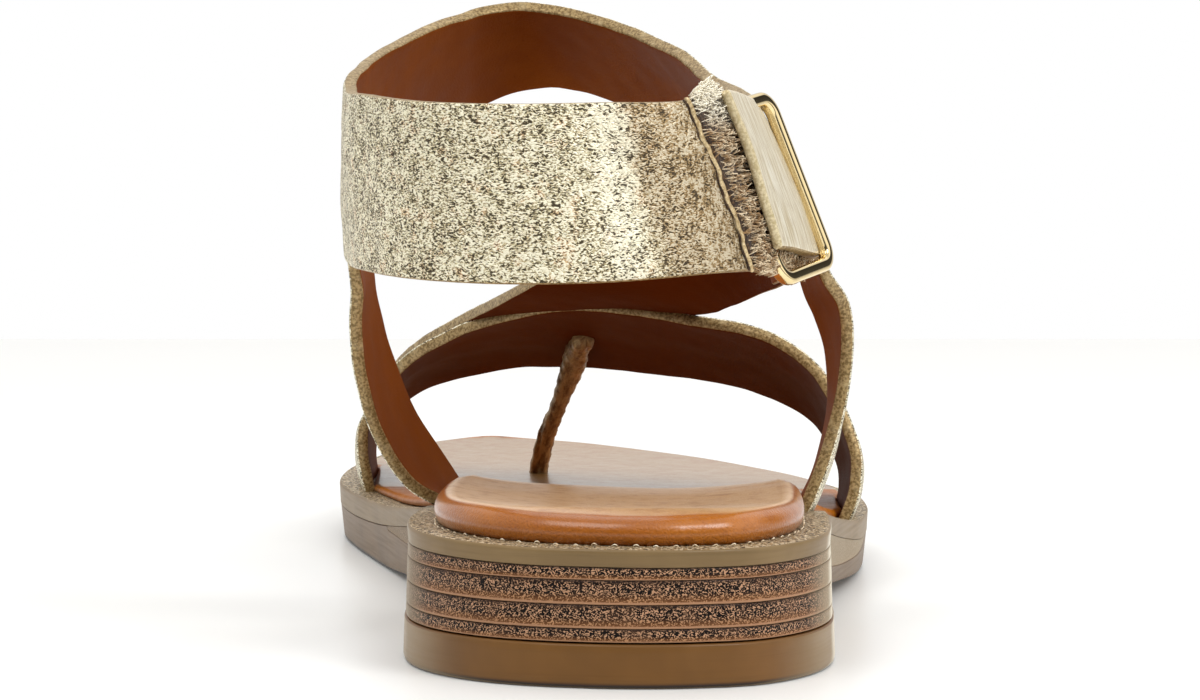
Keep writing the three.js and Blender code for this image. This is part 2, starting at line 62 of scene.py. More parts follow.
SOLE = table("y xm xl zm zl rand wedge tread pad mid", [
    (-1.3, -3.2, 9.0, 18.4, 18.3, 2.4, 1.6, 0.0, 3.7, 4.2),
    (0.8, -10.8, 16.2, 18.4, 18.3, 2.4, 1.6, 0.0, 3.9, 4.4),
    (5.2, -18.2, 21.3, 18.5, 18.3, 2.4, 1.6, 0.0, 4.1, 4.4),
    (12.5, -24.4, 25.7, 18.6, 18.3, 2.4, 1.6, 0.0, 4.2, 3.6),
    (22.0, -28.1, 28.4, 18.6, 18.3, 2.4, 1.6, 0.0, 4.1, 2.7),
    (34.0, -29.3, 29.3, 18.5, 18.3, 2.5, 1.6, 0.0, 4.2, 2.4),
    (49.0, -28.8, 29.6, 18.2, 17.9, 2.7, 3.2, 8.5, 4.4, 2.6),
    (65.0, -28.0, 30.0, 17.3, 16.6, 2.8, 5.6, 5.4, 4.5, 3.0),
    (81.0, -28.0, 31.4, 15.7, 14.4, 2.8, 4.9, 3.8, 3.6, 2.8),
    (98.0, -30.2, 34.2, 13.7, 12.0, 2.9, 3.9, 2.4, 2.4, 1.9),
    (116.0, -33.6, 37.6, 11.9, 9.9, 3.0, 2.1, 1.3, 1.6, 1.5),
    (133.0, -37.0, 39.5, 10.5, 9.2, 3.2, 0.4, 0.4, 1.3, 1.3),
    (149.0, -40.3, 40.4, 9.8, 9.1, 3.5, 0.0, 0.0, 1.2, 1.2),
    (166.0, -43.8, 39.4, 9.4, 9.1, 3.6, 0.0, 0.0, 1.2, 1.2),
    (183.0, -46.4, 34.6, 9.3, 9.2, 3.6, 0.0, 0.0, 1.2, 1.2),
    (199.0, -46.6, 27.4, 9.4, 9.3, 3.6, 0.0, 0.3, 1.2, 1.1),
    (214.0, -44.8, 18.9, 9.6, 9.5, 3.6, 0.0, 1.0, 1.2, 1.0),
    (227.0, -41.4, 8.9, 9.9, 9.8, 3.5, 0.0, 1.9, 1.1, 1.0),
    (237.5, -36.6, -2.4, 10.2, 10.2, 3.5, 0.0, 2.8, 1.1, 1.0),
    (244.2, -31.0, -12.4, 10.5, 10.5, 3.5, 0.0, 3.4, 1.0, 0.9),
    (247.2, -26.2, -18.4, 10.7, 10.7, 3.4, 0.0, 3.8, 1.0, 0.9),
])

EDGES = "ax ay az bx by bz"
VAMP = table(EDGES, [
    (-40.6, 165.5, 6.4, -41.2, 199.0, 6.4),
    (-42.0, 164.8, 11.6, -42.6, 199.4, 11.0),
    (-42.5, 163.0, 17.5, -42.4, 198.4, 16.4),
    (-41.3, 161.0, 22.4, -40.2, 196.2, 20.4),
    (-34.9, 156.0, 32.1, -33.4, 191.0, 25.7),
    (-23.6, 148.0, 38.7, -22.6, 184.5, 29.3),
    (-7.3, 140.0, 42.6, -8.6, 177.5, 30.9),
    (11.4, 131.2, 40.9, 12.0, 167.5, 29.8),
    (22.6, 126.0, 39.0, 24.0, 160.5, 27.6),
    (31.9, 121.5, 32.9, 32.8, 154.8, 23.2),
    (37.3, 117.5, 22.4, 37.2, 151.6, 16.4),
    (37.7, 116.0, 15.6, 37.7, 150.4, 11.6),
    (35.6, 115.0, 9.0, 36.2, 150.0, 6.0),
])
INSTEP_FREE = [
    (25.0, 60.0, 66.5, 27.4, 69.0, 53.6),
    (24.0, 74.0, 65.2, 27.4, 77.0, 50.6),
    (18.4, 90.0, 64.4, 25.6, 90.0, 48.2),
    (7.6, 104.0, 59.8, 22.0, 105.0, 46.4),
    (-5.4, 116.6, 52.0, 17.9, 117.6, 44.4),
    (-15.6, 130.0, 45.6, 14.9, 126.6, 43.0),
]
INSTEP_ON_VAMP = [(5.0, 0.02, 6.86, 0.12), (4.32, 0.26, 6.3, 0.4), (3.75, 0.56, 5.75, 0.68), (3.4, 0.96, 5.25, 0.96)]
MEDIAL_SIDE = table(EDGES, [
    (-22.9, 60.4, 15.6, -22.5, 85.0, 13.4),
    (-25.4, 60.0, 17.3, -24.6, 84.8, 17.6),
    (-30.3, 58.0, 20.6, -28.8, 80.8, 24.8),
    (-34.1, 55.0, 26.2, -32.2, 76.8, 31.4),
    (-36.8, 51.4, 34.4, -34.8, 72.8, 39.2),
    (-37.8, 48.4, 43.4, -36.6, 69.4, 46.6),
    (-37.5, 46.4, 51.4, -37.1, 67.6, 53.2),
    (-36.6, 45.4, 61.4, -37.3, 66.8, 62.4),
])
LATERAL_SIDE = table(EDGES, [
    (24.9, 54.2, 15.6, 26.1, 78.6, 13.2),
    (27.1, 54.0, 17.5, 28.2, 78.6, 16.4),
    (29.5, 54.8, 22.8, 30.6, 78.4, 22.4),
    (32.2, 56.2, 31.2, 32.4, 78.0, 31.2),
    (33.4, 56.6, 40.0, 32.0, 76.6, 38.6),
    (32.9, 54.6, 47.2, 30.2, 75.0, 44.4),
    (30.0, 49.6, 52.2, 28.2, 73.4, 49.4),
    (26.7, 46.6, 59.6, 25.9, 70.0, 60.0),
])
FRONT_CUFF = [
    (14.2, 11.2, 78.4, 21.4, 14.0, 57.2, 1.35),
    (17.0, 19.6, 77.6, 25.0, 22.4, 56.2, 1.6),
    (18.6, 30.4, 76.9, 27.7, 32.4, 55.2, 1.9),
    (16.8, 46.0, 78.0, 29.0, 46.0, 55.8, 1.9),
    (14.0, 60.0, 79.3, 28.4, 61.0, 57.4, 1.9),
    (9.6, 76.4, 83.0, 24.6, 78.0, 61.4, 1.9),
    (1.0, 90.8, 86.8, 15.6, 97.0, 68.2, 1.9),
    (-9.6, 98.0, 89.6, -1.4, 110.0, 76.6, 1.9),
    (-16.8, 98.8, 90.0, -14.0, 114.0, 77.7, 1.9),
    (-25.1, 93.0, 88.0, -25.2, 108.0, 72.7, 1.9),
    (-33.9, 77.0, 83.7, -34.6, 90.0, 63.4, 1.9),
    (-38.2, 58.0, 80.2, -38.7, 66.0, 56.2, 1.9),
]
BACK_ROWS = [
    (-38.3, 44.0, 77.7, -38.1, 44.0, 53.5, 1.9),
    (-35.6, 24.0, 77.4, -34.8, 25.0, 53.4, 1.9),
    (-27.5, 9.2, 76.8, -26.9, 9.2, 53.1, 1.9),
    (-15.0, 2.2, 76.6, -15.0, 2.2, 52.9, 1.9),
    (-1.6, 1.4, 76.8, -0.6, 1.6, 53.2, 1.9),
    (8.6, 6.4, 77.0, 12.6, 6.8, 54.1, 1.9),
    (12.0, 14.4, 78.6, 18.8, 14.0, 54.3, 1.9),
    (14.2, 24.0, 77.4, 22.6, 25.0, 53.6, 1.9),
    (14.8, 34.0, 75.8, 24.0, 36.0, 52.4, 1.9),
    (13.8, 43.0, 74.0, 23.2, 46.0, 51.0, 1.9),
]
BACK_BAND = table(EDGES + " t", BACK_ROWS)
CUFF = table(EDGES + " t", FRONT_CUFF + BACK_ROWS)
FRONT_CUFF_Y = [r[4] for r in FRONT_CUFF]
POST = table("x y z r", [
    (-5.0, 158.0, 35.6, 1.9),
    (-6.2, 164.0, 33.0, 2.0),
    (-7.6, 170.4, 28.4, 1.75),
    (-9.7, 177.0, 22.4, 1.45),
    (-11.7, 182.6, 17.0, 1.4),
    (-13.1, 187.6, 10.6, 1.6),
    (-13.4, 189.0, 7.4, 1.6),
])
RING = np.array([(21.8, 18.0, 52.5), (28.9, 31.5, 54.3), (20.1, 29.5, 76.9), (13.0, 16.0, 75.1)])

FOOT = np.array([-3.0, 158.0, 4.0])
ANKLE = np.array([-9.0, 52.0, 66.0])
ARCH = np.array([-3.0, 100.0, 30.0])
SIDE = np.array([0.0, 60.0, 40.0])
CROWN_VAMP = 0.9


# ---------------------------------------------------------------- helpers
def column(tab, key, u):
    c = tab[key]
    n = len(c) - 1
    u = np.asarray(u, float)
    i = np.clip(np.floor(u).astype(int), 0, n - 1)
    f = u - i
    e = np.concatenate([[2 * c[0] - c[1]], c, [2 * c[-1] - c[-2]]])
    p0, p1, p2, p3 = e[i], e[i + 1], e[i + 2], e[i + 3]
    return (((-0.5 * p0 + 1.5 * p1 - 1.5 * p2 + 0.5 * p3) * f + (p0 - 2.5 * p1 + 2 * p2 - 0.5 * p3)) * f + 0.5 * (p2 - p0)) * f + p1


def unit(a):
    return a / np.maximum(np.linalg.norm(a, axis=-1, keepdims=True), 1e-9)


def edge(tab, key, u):
    return np.stack([column(tab, key + c, u) for c in "xyz"], -1)


def face(tab, u, v, crown, middle):
    """Points, outward normals and directions of a strap's outer face at row u and share v of the width."""
    u, v = np.broadcast_arrays(np.asarray(u, float), np.asarray(v, float))
    top = len(tab["ax"]) - 1
    u0, u1 = np.maximum(0, u - 0.05), np.minimum(top, u + 0.05)
    a, b, q = edge(tab, "a", u), edge(tab, "b", u), v[..., None]
    wide = unit(b - a)
    along = unit(edge(tab, "a", u1) * (1 - q) + edge(tab, "b", u1) * q - edge(tab, "a", u0) * (1 - q) - edge(tab, "b", u0) * q)
    n = unit(np.cross(along, wide))
    n = np.where((n * ((a + b) / 2 - middle)).sum(-1, keepdims=True) < 0, -n, n)
    p = a * (1 - q) + b * q + n * (crown * 4 * v * (1 - v))[..., None]
    return p, n, wide, along


def soft(x, lo, hi):
    t = np.clip((np.asarray(x, float) - lo) / (hi - lo), 0, 1)
    return t * t * (3 - 2 * t)


def ripple(p, size, seed, waves=7):
    """Smooth seeded noise, about -1 to 1, over points in millimetres."""
    rng = np.random.default_rng(seed)
    out = 0
    for _ in range(waves):
        d = unit(rng.normal(size=3)) * 2 * math.pi / (size * rng.uniform(0.7, 1.6))
        out = out + np.sin(p @ d + rng.uniform(0, 6.28))
    return out / math.sqrt(waves) * 0.8


def put(points):
    return (np.asarray(points, float) + CENTRE) / 1000.0


def build(name, verts, faces, mats, face_mats=None, uvs=None):
    """Mesh object from points in millimetres; uvs are per corner, in millimetres."""
    me = bpy.data.meshes.new(name)
    me.from_pydata(put(verts).tolist(), [], faces)
    for m in mats:
        me.materials.append(m)
    if face_mats is not None:
        me.polygons.foreach_set("material_index", np.asarray(face_mats, np.int32))
    me.polygons.foreach_set("use_smooth", np.ones(len(me.polygons), bool))
    if uvs is not None:
        layer = me.uv_layers.new(name="length_mm")
        layer.data.foreach_set("uv", np.asarray(uvs, np.float32).ravel())
    me.update()
    o = bpy.data.objects.new(name, me)
    bpy.context.scene.collection.objects.link(o)
    return o


def orient(verts, faces):
    """Flips every face if the closed mesh is inside out."""
    v = np.asarray(verts, float)
    vol = 0.0
    for f in faces:
        a = v[f[0]]
        for k in range(1, len(f) - 1):
            vol += np.dot(a, np.cross(v[f[k]], v[f[k + 1]]))
    return faces if vol > 0 else [f[::-1] for f in faces]


def seat(o, slot, *nodes, on="root"):
    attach(o, on)
    if nodes:
        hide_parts(*nodes)
    return o


# ---------------------------------------------------------------- materials
class Nodes:
    """Short hand for a material's node tree."""

    def __init__(self, name, **shader):
        self.mat = bpy.data.materials.new(name)
        self.mat.use_nodes = True
        self.t = self.mat.node_tree
        self.bsdf = self.t.nodes["Principled BSDF"]
        for k, v in shader.items():
            self.bsdf.inputs[k.replace("_", " ")].default_value = v
        self.coord = self.t.nodes.new("ShaderNodeTexCoord").outputs["Object"]

    def new(self, kind, **props):
        n = self.t.nodes.new(kind)
        for k, v in props.items():
            setattr(n, k, v)
        return n

    def put(self, socket, value):
        if hasattr(value, "is_linked"):
            self.t.links.new(value, socket)
        else:
            socket.default_value = value
        return socket

    def scaled(self, scale, coord=None, turn=(0, 0, 0)):
        m = self.new("ShaderNodeMapping")
        self.put(m.inputs["Vector"], coord or self.coord)
        m.inputs["Scale"].default_value = scale if hasattr(scale, "__len__") else (scale,) * 3
        m.inputs["Rotation"].default_value = turn
        return m.outputs["Vector"]

    def noise(self, scale, detail=4.0, rough=0.55, coord=None, warp=0.0, stretch=(1, 1, 1)):
        n = self.new("ShaderNodeTexNoise")
        self.put(n.inputs["Vector"], self.scaled(stretch, coord))
        n.inputs["Scale"].default_value = scale
        n.inputs["Detail"].default_value = detail
        n.inputs["Roughness"].default_value = rough
        n.inputs["Distortion"].default_value = warp
        return n.outputs["Fac"]

    def cells(self, scale, feature="DISTANCE_TO_EDGE", coord=None, stretch=(1, 1, 1), random=1.0):
        n = self.new("ShaderNodeTexVoronoi", feature=feature)
        self.put(n.inputs["Vector"], self.scaled(stretch, coord))
        n.inputs["Scale"].default_value = scale
        n.inputs["Randomness"].default_value = random
        return n.outputs["Distance"]

    def bent(self, amount, scale):
        """The object coordinates pushed about by noise."""
        n = self.new("ShaderNodeTexNoise")
        self.put(n.inputs["Vector"], self.coord)
        n.inputs["Scale"].default_value = scale
        n.inputs["Detail"].default_value = 2.0
        s = self.new("ShaderNodeVectorMath", operation="SUBTRACT")
        self.put(s.inputs[0], n.outputs["Color"])
        s.inputs[1].default_value = (0.5, 0.5, 0.5)
        m = self.new("ShaderNodeVectorMath", operation="SCALE")
        self.put(m.inputs[0], s.outputs["Vector"])
        m.inputs["Scale"].default_value = amount
        a = self.new("ShaderNodeVectorMath", operation="ADD")
        self.put(a.inputs[0], self.coord)
        self.put(a.inputs[1], m.outputs["Vector"])
        return a.outputs["Vector"]

    def math(self, op, a, b=0.0, clamp=False):
        n = self.new("ShaderNodeMath", operation=op, use_clamp=clamp)
        self.put(n.inputs[0], a)
        self.put(n.inputs[1], b)
        return n.outputs[0]

    def span(self, value, lo, hi, to_lo=0.0, to_hi=1.0, kind="SMOOTHSTEP"):
        n = self.new("ShaderNodeMapRange", interpolation_type=kind)
        self.put(n.inputs["Value"], value)
        for k, v in (("From Min", lo), ("From Max", hi), ("To Min", to_lo), ("To Max", to_hi)):
            self.put(n.inputs[k], v)
        return n.outputs["Result"]

    def mix(self, factor, a, b, how="MIX"):
        n = self.new("ShaderNodeMix", data_type="RGBA", blend_type=how)
        self.put(n.inputs[0], factor)
        self.put(n.inputs[6], a)
        self.put(n.inputs[7], b)
        return n.outputs[2]

    def axis(self, which, coord=None):
        n = self.new("ShaderNodeSeparateXYZ")
        self.put(n.inputs[0], coord or self.coord)
        return n.outputs[which]

    def uv(self):
        n = self.new("ShaderNodeUVMap", uv_map="length_mm")
        return n.outputs["UV"]

    def bump(self, *layers):
        """Each layer is (height, strength, distance in metres)."""
        normal = None
        for height, strength, distance in layers:
            b = self.new("ShaderNodeBump")
            b.inputs["Strength"].default_value = strength
            b.inputs["Distance"].default_value = distance
            self.put(b.inputs["Height"], height)
            if normal is not None:
                self.put(b.inputs["Normal"], normal)
            normal = b.outputs["Normal"]
        self.put(self.bsdf.inputs["Normal"], normal)

    def set(self, **sockets):
        for k, v in sockets.items():
            self.put(self.bsdf.inputs[k.replace("_", " ")], v)
        return self.mat


def rgb(r, g, b):
    """Linear colour from 0-255 display values."""
    f = lambda c: c / 12.92 if c <= 0.04045 else ((c + 0.055) / 1.055) ** 2.4
    return (f(r / 255), f(g / 255), f(b / 255), 1.0)


def gold_leather(name, crackle=1.0, fade=1.0):
    """Foiled leather: champagne foil broken by fine dark winding crackle, with peach ground showing; darker, warmer
    and with fewer pale flecks towards the closure, calmer still nearer it where the band is stretched, and a painted
    highlight strip."""
    m = Nodes(name)
    bent = m.bent(0.0008, 900)
    flow = (0.66, 0.66, 1.5)
    tone = m.noise(3500, 1.0, 0.5, coord=bent, stretch=flow, warp=0.5)
    patch = m.noise(170, 3.0, 0.6)
    blot = m.noise(430, 4.0, 0.65)
    cluster = m.noise(520, 2.0, 0.5)
    lean = m.math("ADD", m.axis(0), m.math("MULTIPLY", m.axis(2), 0.38))
    behind = m.span(m.axis(1), -0.112, -0.104, 1.0, 0.0)
    calm = m.math("MULTIPLY", m.span(lean, 0.0338, 0.0388), behind)
    warm = m.math("MULTIPLY", m.span(lean, 0.0262, 0.0330), behind)
    # painted highlight: a slanted strip down the back of the band is lightened towards near white, with less dark
    # crackle, standing in for the glint of the lights
    strip = m.math("ADD", m.math("ADD", m.axis(0), m.math("MULTIPLY", m.axis(2), 0.13)), m.math("MULTIPLY", m.math("SUBTRACT", blot, 0.5), 0.006))
    painted_glint = m.math("MULTIPLY", m.span(m.math("ABSOLUTE", m.math("SUBTRACT", strip, 0.0116)), 0.0010, 0.0036, 1.0, 0.0), behind)
    pull = m.noise(1900, 1.5, 0.5, coord=bent, stretch=(1.7, 1.7, 0.55))
    tone = m.math("ADD", m.math("MULTIPLY", tone, m.span(calm, 0.0, 1.0, 1.0, 0.6, "LINEAR")), m.math("MULTIPLY", pull, m.math("MULTIPLY", calm, 0.4)))
    shift = m.math("ADD", tone, m.math("MULTIPLY", m.math("SUBTRACT", cluster, 0.5), -0.34))
    shift = m.math("ADD", shift, m.math("ADD", m.math("MULTIPLY", calm, 0.014), m.math("MULTIPLY", painted_glint, 0.03)))
    dark = m.math("MULTIPLY", m.span(shift, 0.395, 0.475, 1.0, 0.0), 0.97 * crackle, clamp=True)
    light = m.span(shift, 0.505, 0.575)
    foil = m.mix(patch, rgb(208, 196, 156), rgb(192, 175, 134))
    worn = m.span(blot, 0.53, 0.68)
    foil = m.mix(m.math("MULTIPLY", worn, 0.5 * fade), foil, rgb(232, 180, 128))
    foil = m.mix(m.math("MULTIPLY", warm, 0.85), foil, rgb(146, 116, 72))
    foil = m.mix(m.math("MULTIPLY", painted_glint, 0.5), foil, rgb(255, 250, 224))
    foil = m.mix(m.math("MULTIPLY", light, m.span(warm, 0.0, 1.0, 0.88, 0.42, "LINEAR")), foil, rgb(255, 250, 228))
    colour = m.mix(dark, foil, rgb(54, 42, 22))
    rough = m.span(dark, 0.0, 1.0, 0.40, 0.7, "LINEAR")
    m.bump((m.noise(120, 3.0), 0.35, 0.0006), (shift, 0.6 * crackle, 0.0004))
    return m.set(Base_Color=colour, Roughness=rough, Metallic=m.span(dark, 0.0, 1.0, 0.62, 0.2, "LINEAR"))


def tab_leather(name):
    """The same foil where it is bent hard: long fine pull lines across the strap, their pale streaks a painted
    reflection.
    """
    m = Nodes(name)
    uv = m.uv()
    lines = m.noise(1.0, 4.0, 0.6, coord=uv, stretch=(2.3, 0.13, 1))
    fine = m.noise(1.0, 3.0, 0.6, coord=uv, stretch=(5.2, 0.45, 1))
    # painted reflection: the near-white streak colour stands in for light off the bent foil; the pull-line pattern
    # itself is real
    foil = m.mix(m.span(lines, 0.32, 0.68), rgb(204, 188, 154), rgb(248, 242, 224))
    colour = m.mix(m.math("MULTIPLY", m.span(fine, 0.56, 0.7), 0.5), foil, rgb(150, 120, 80))
    m.bump((lines, 0.5, 0.0005), (fine, 0.4, 0.00016), (m.cells(2300), 0.2, 0.00008))
    return m.set(Base_Color=colour, Roughness=m.span(lines, 0.3, 0.7, 0.5, 0.34, "LINEAR"), Metallic=0.62)


def lining_leather(name, base=(130, 67, 16)):
    m = Nodes(name, Specular_IOR_Level=0.04)
    cloud = m.noise(60, 4.0, 0.6)
    grain = m.cells(1900, coord=m.bent(0.0005, 900))
    r, g, b = base
    colour = m.mix(m.span(cloud, 0.35, 0.68), rgb(r * 0.92, g * 0.88, b * 0.82), rgb(r, g, b))
    pores = m.span(m.noise(2600, 2.0), 0.62, 0.75)
    colour = m.mix(m.math("MULTIPLY", pores, 0.4), colour, rgb(r * 0.62, g * 0.56, b * 0.5))
    m.bump((m.noise(230, 3.0), 0.25, 0.0004), (m.span(grain, 0.0, 0.25), 0.28, 0.00007))
    return m.set(Base_Color=colour, Roughness=m.span(cloud, 0.3, 0.7, 0.5, 0.62, "LINEAR"))


def edge_paint(name, pale=(176, 150, 102), deep=(112, 88, 48)):
    m = Nodes(name, Metallic=0.35)
    grit = m.noise(2500, 3.0, 0.6)
    fibre = m.noise(420, 3.0, 0.6)
    colour = m.mix(m.span(grit, 0.36, 0.66), rgb(*deep), rgb(*pale))
    colour = m.mix(m.math("MULTIPLY", m.span(fibre, 0.5, 0.75), 0.5), colour, rgb(200, 180, 138))
    m.bump((grit, 0.4, 0.0001), (fibre, 0.4, 0.0002))
    return m.set(Base_Color=colour, Roughness=m.span(grit, 0.3, 0.7, 0.52, 0.36, "LINEAR"))


def insole_leather(name, gloss=0.9, painted_top_reflection=1.0):
    """Glossy pulled-up leather with darker mottling at random."""
    m = Nodes(name, Coat_Weight=gloss, Coat_Roughness=0.24, Specular_IOR_Level=0.2)
    cloud = m.noise(45, 4.0, 0.6)
    mottle = m.noise(340, 4.0, 0.65)
    colour = m.mix(m.span(cloud, 0.32, 0.7), rgb(156, 86, 6), rgb(178, 104, 14))
    geo = m.new("ShaderNodeNewGeometry")
    # painted reflection: seen almost flat, the top is given a pale colour standing in for the white room it reflects,
    # paler over the heel than the forefoot
    facing = m.new("ShaderNodeLayerWeight").outputs["Facing"]
    flat = m.math("MULTIPLY", m.span(m.axis(2, geo.outputs["Normal"]), 0.90, 0.99), m.span(facing, 0.62, 0.9, 0.0, 0.85 * painted_top_reflection))
    pale = m.mix(m.span(m.axis(1), -0.06, -0.01), rgb(232, 186, 130), rgb(144, 112, 60))
    colour = m.mix(flat, colour, pale)
    colour = m.mix(m.math("MULTIPLY", m.span(mottle, 0.45, 0.75), 0.4), colour, rgb(136, 68, 6))
    grain = m.cells(1500, coord=m.bent(0.0008, 700))
    m.bump((m.noise(130, 3.0), 0.3, 0.0006), (m.span(grain, 0.0, 0.3), 0.4, 0.00012), (m.noise(2600, 2.0), 0.2, 0.00006))
    return m.set(Base_Color=colour, Roughness=m.span(mottle, 0.3, 0.75, 0.34, 0.5, "LINEAR"))


def painted_catch_light(m, colour, grazing_sheen=None):
    """Painted reflection: walls that turn away from the eye are coloured as if they picked up the white room, first
    with a plain sheen tone, then with a pale highlight line.
    """
    facing = m.new("ShaderNodeLayerWeight").outputs["Facing"]
    geo = m.new("ShaderNodeNewGeometry")
    wall = m.span(m.axis(2, geo.outputs["Normal"]), 0.3, 0.6, 1.0, 0.0)
    if grazing_sheen is not None:
        colour = m.mix(m.math("MULTIPLY", wall, m.span(facing, 0.3, 0.8, 0.0, 0.85)), colour, rgb(*grazing_sheen))
    # painted highlight: the pale line on walls seen at a grazing angle, stronger on the right side
    side = m.math("MULTIPLY", m.span(facing, 0.84, 0.95), m.span(m.axis(0), -0.01, 0.02, 0.15, 0.7))
    side = m.math("MULTIPLY", side, m.span(m.axis(1), -0.09, -0.07, 1.0, 0.0))
    return m.mix(m.math("MULTIPLY", side, wall), colour, rgb(236, 228, 208))


def sole_plastic(name, colour=(125, 102, 66), streak=1.0, rim=False, grazing_sheen=None):
    """Moulded taupe sole with faint sanding lines, darkened near the floor as painted shadow; rim adds the small
    slanted welt ridges on its top face, with painted highlight on that face and on the ridges.
    """
    m = Nodes(name, Specular_IOR_Level=0.28, Coat_Weight=0.1, Coat_Roughness=0.12)
    r, g, b = colour
    line = m.noise(1.0, 4.0, 0.6, stretch=(60, 60, 1900))
    cloud = m.noise(70, 3.0, 0.6)
    base = m.mix(m.span(cloud, 0.3, 0.7), rgb(r * 0.95, g * 0.94, b * 0.93), rgb(r * 1.05, g * 1.05, b * 1.06))
    base = m.mix(m.math("MULTIPLY", m.span(line, 0.5, 0.72), 0.3 * streak), base, rgb(r * 0.78, g * 0.76, b * 0.72))
    rough = m.span(line, 0.3, 0.7, 0.42, 0.52, "LINEAR")
    # painted shadow: dark brown below 0.3 mm above the floor, fading out by 0.9 mm, standing in for the contact shadow
    base = m.mix(m.span(m.axis(2), 0.0003, 0.0009, 1.0, 0.0), base, rgb(34, 20, 10))
    bumps = [(line, 0.2 * streak, 0.00008), (m.noise(900, 3.0), 0.12, 0.0001)]
    if rim:
        geo = m.new("ShaderNodeNewGeometry")
        flat = m.span(m.axis(2, geo.outputs["Normal"]), 0.86, 0.95)
        pebble = m.cells(1500, coord=m.bent(0.0007, 1100), stretch=(1.0, 0.62, 1.0))
        worm = m.span(pebble, 0.03, 0.2)
        # painted highlight: the rim's flat top is made paler, and the raised ridges on it near white
        base = m.mix(m.math("MULTIPLY", flat, 0.5), base, rgb(r * 1.3, g * 1.3, b * 1.35))
        base = m.mix(m.math("MULTIPLY", flat, m.math("SUBTRACT", 1.0, worm)), base, rgb(r * 1.7, g * 1.88, b * 2.4))
        base = m.mix(m.math("MULTIPLY", flat, m.span(m.noise(1900, 2.0), 0.5, 0.6)), base, rgb(r * 0.42, g * 0.38, b * 0.32))
        bumps.append((m.math("MULTIPLY", flat, m.math("SUBTRACT", 1.0, worm)), 0.8, 0.0003))
    m.bump(*bumps)
    return m.set(Base_Color=painted_catch_light(m, base, grazing_sheen), Roughness=rough)


def stacked_leather(name):
    """Printed stacked-leather look: dark winding mottling, paler towards the foot of each layer."""
    m = Nodes(name, Specular_IOR_Level=0.14, Coat_Weight=0.06, Coat_Roughness=0.12)
    bent = m.bent(0.0008, 1100)
    worm = m.noise(4900, 1.0, 0.5, coord=bent, stretch=(0.8, 0.8, 1.15))
    big = m.noise(300, 2.0, 0.5)
    low = m.axis(1, m.uv())        # 0 at the foot of the layer, 1 at its top
    dark = m.span(worm, 0.536, 0.57, 1.0, 0.0)
    ground = m.mix(m.span(low, 0.12, 0.62), rgb(168, 124, 86), rgb(184, 142, 110))
    pit = m.mix(m.span(low, 0.1, 0.5), rgb(100, 62, 34), rgb(10, 4, 1))
    mottled = m.mix(dark, ground, pit)
    mottled = m.mix(m.math("MULTIPLY", m.span(big, 0.5, 0.75), 0.3), mottled, rgb(120, 84, 60))
    mottled = m.mix(m.span(low, 0.8, 0.98, 0.0, 0.75), mottled, rgb(36, 20, 12))
    line = m.span(low, 0.07, 0.13, 1.0, 0.0)
    mottled = m.mix(line, mottled, rgb(168, 126, 94))
    # painted reflection and shade: seen at a grazing angle the mottling gives way to a plain sheen tone, darker on the
    # left side than on the right
    facing = m.new("ShaderNodeLayerWeight", ).outputs["Facing"]
    grazing_sheen = m.mix(m.span(m.axis(0), -0.012, 0.012), rgb(134, 114, 88), rgb(156, 138, 110))
    colour = m.mix(m.span(facing, 0.56, 0.9, 0.0, 0.9), mottled, grazing_sheen)
    m.bump((worm, 0.3, 0.0001), (m.noise(500, 2.0), 0.15, 0.0002))
    return m.set(Base_Color=painted_catch_light(m, colour), Roughness=m.span(dark, 0.0, 1.0, 0.44, 0.56, "LINEAR"))


def fibre(name, pale, deep, tuft=False):
    m = Nodes(name, Roughness=0.6, Specular_IOR_Level=0.3)
    tone = m.noise(900, 3.0, 0.6)
    colour = m.mix(m.span(tone, 0.38, 0.62), rgb(*deep), rgb(*pale))
    if tuft:
        # painted light: loops above 72.5 mm turn near white, standing in for the light on the top of the tuft
        colour = m.mix(m.span(m.axis(2), 0.0725, 0.0755), colour, rgb(255, 248, 228))
        colour = m.mix(m.math("MULTIPLY", m.span(m.noise(1400, 2.0), 0.56, 0.66), 0.6), colour, rgb(112, 84, 58))
    m.bump((m.noise(3000, 2.0), 0.3, 0.00005))
    return m.set(Base_Color=colour)


def tape(name):
    m = Nodes(name, Roughness=0.85, Sheen_Weight=0.3)
    weave = m.cells(2200, "F1")
    m.bump((weave, 0.5, 0.0002))
    return m.set(Base_Color=m.mix(m.span(weave, 0.1, 0.6), rgb(96, 70, 44), rgb(52, 34, 20)))


def polished(name):
    m = Nodes(name, Metallic=1.0)
    scratch = m.noise(600, 4.0, 0.7, stretch=(1, 1, 0.12))
    m.bump((m.noise(500, 2.0), 0.04, 0.0002))
    return m.set(Base_Color=m.mix(scratch, rgb(226, 202, 148), rgb(238, 218, 172)), Roughness=m.span(scratch, 0.45, 0.75, 0.05, 0.12, "LINEAR"))


def rolled_leather(name):
    m = Nodes(name, Metallic=0.45)
    fold = m.noise(1.0, 4.0, 0.65, coord=m.uv(), stretch=(0.28, 0.9, 1))
    grit = m.noise(1300, 3.0, 0.7)
    colour = m.mix(m.span(fold, 0.34, 0.66), rgb(120, 90, 52), rgb(190, 162, 112))
    colour = m.mix(m.math("MULTIPLY", m.span(grit, 0.5, 0.7), 0.4), colour, rgb(214, 190, 140))
    m.bump((fold, 0.5, 0.0005), (grit, 0.3, 0.0001))
    return m.set(Base_Color=colour, Roughness=0.48)


GOLD = gold_leather("foil_leather")
TAB = tab_leather("foil_leather_bent")
LINING = lining_leather("lining_leather")
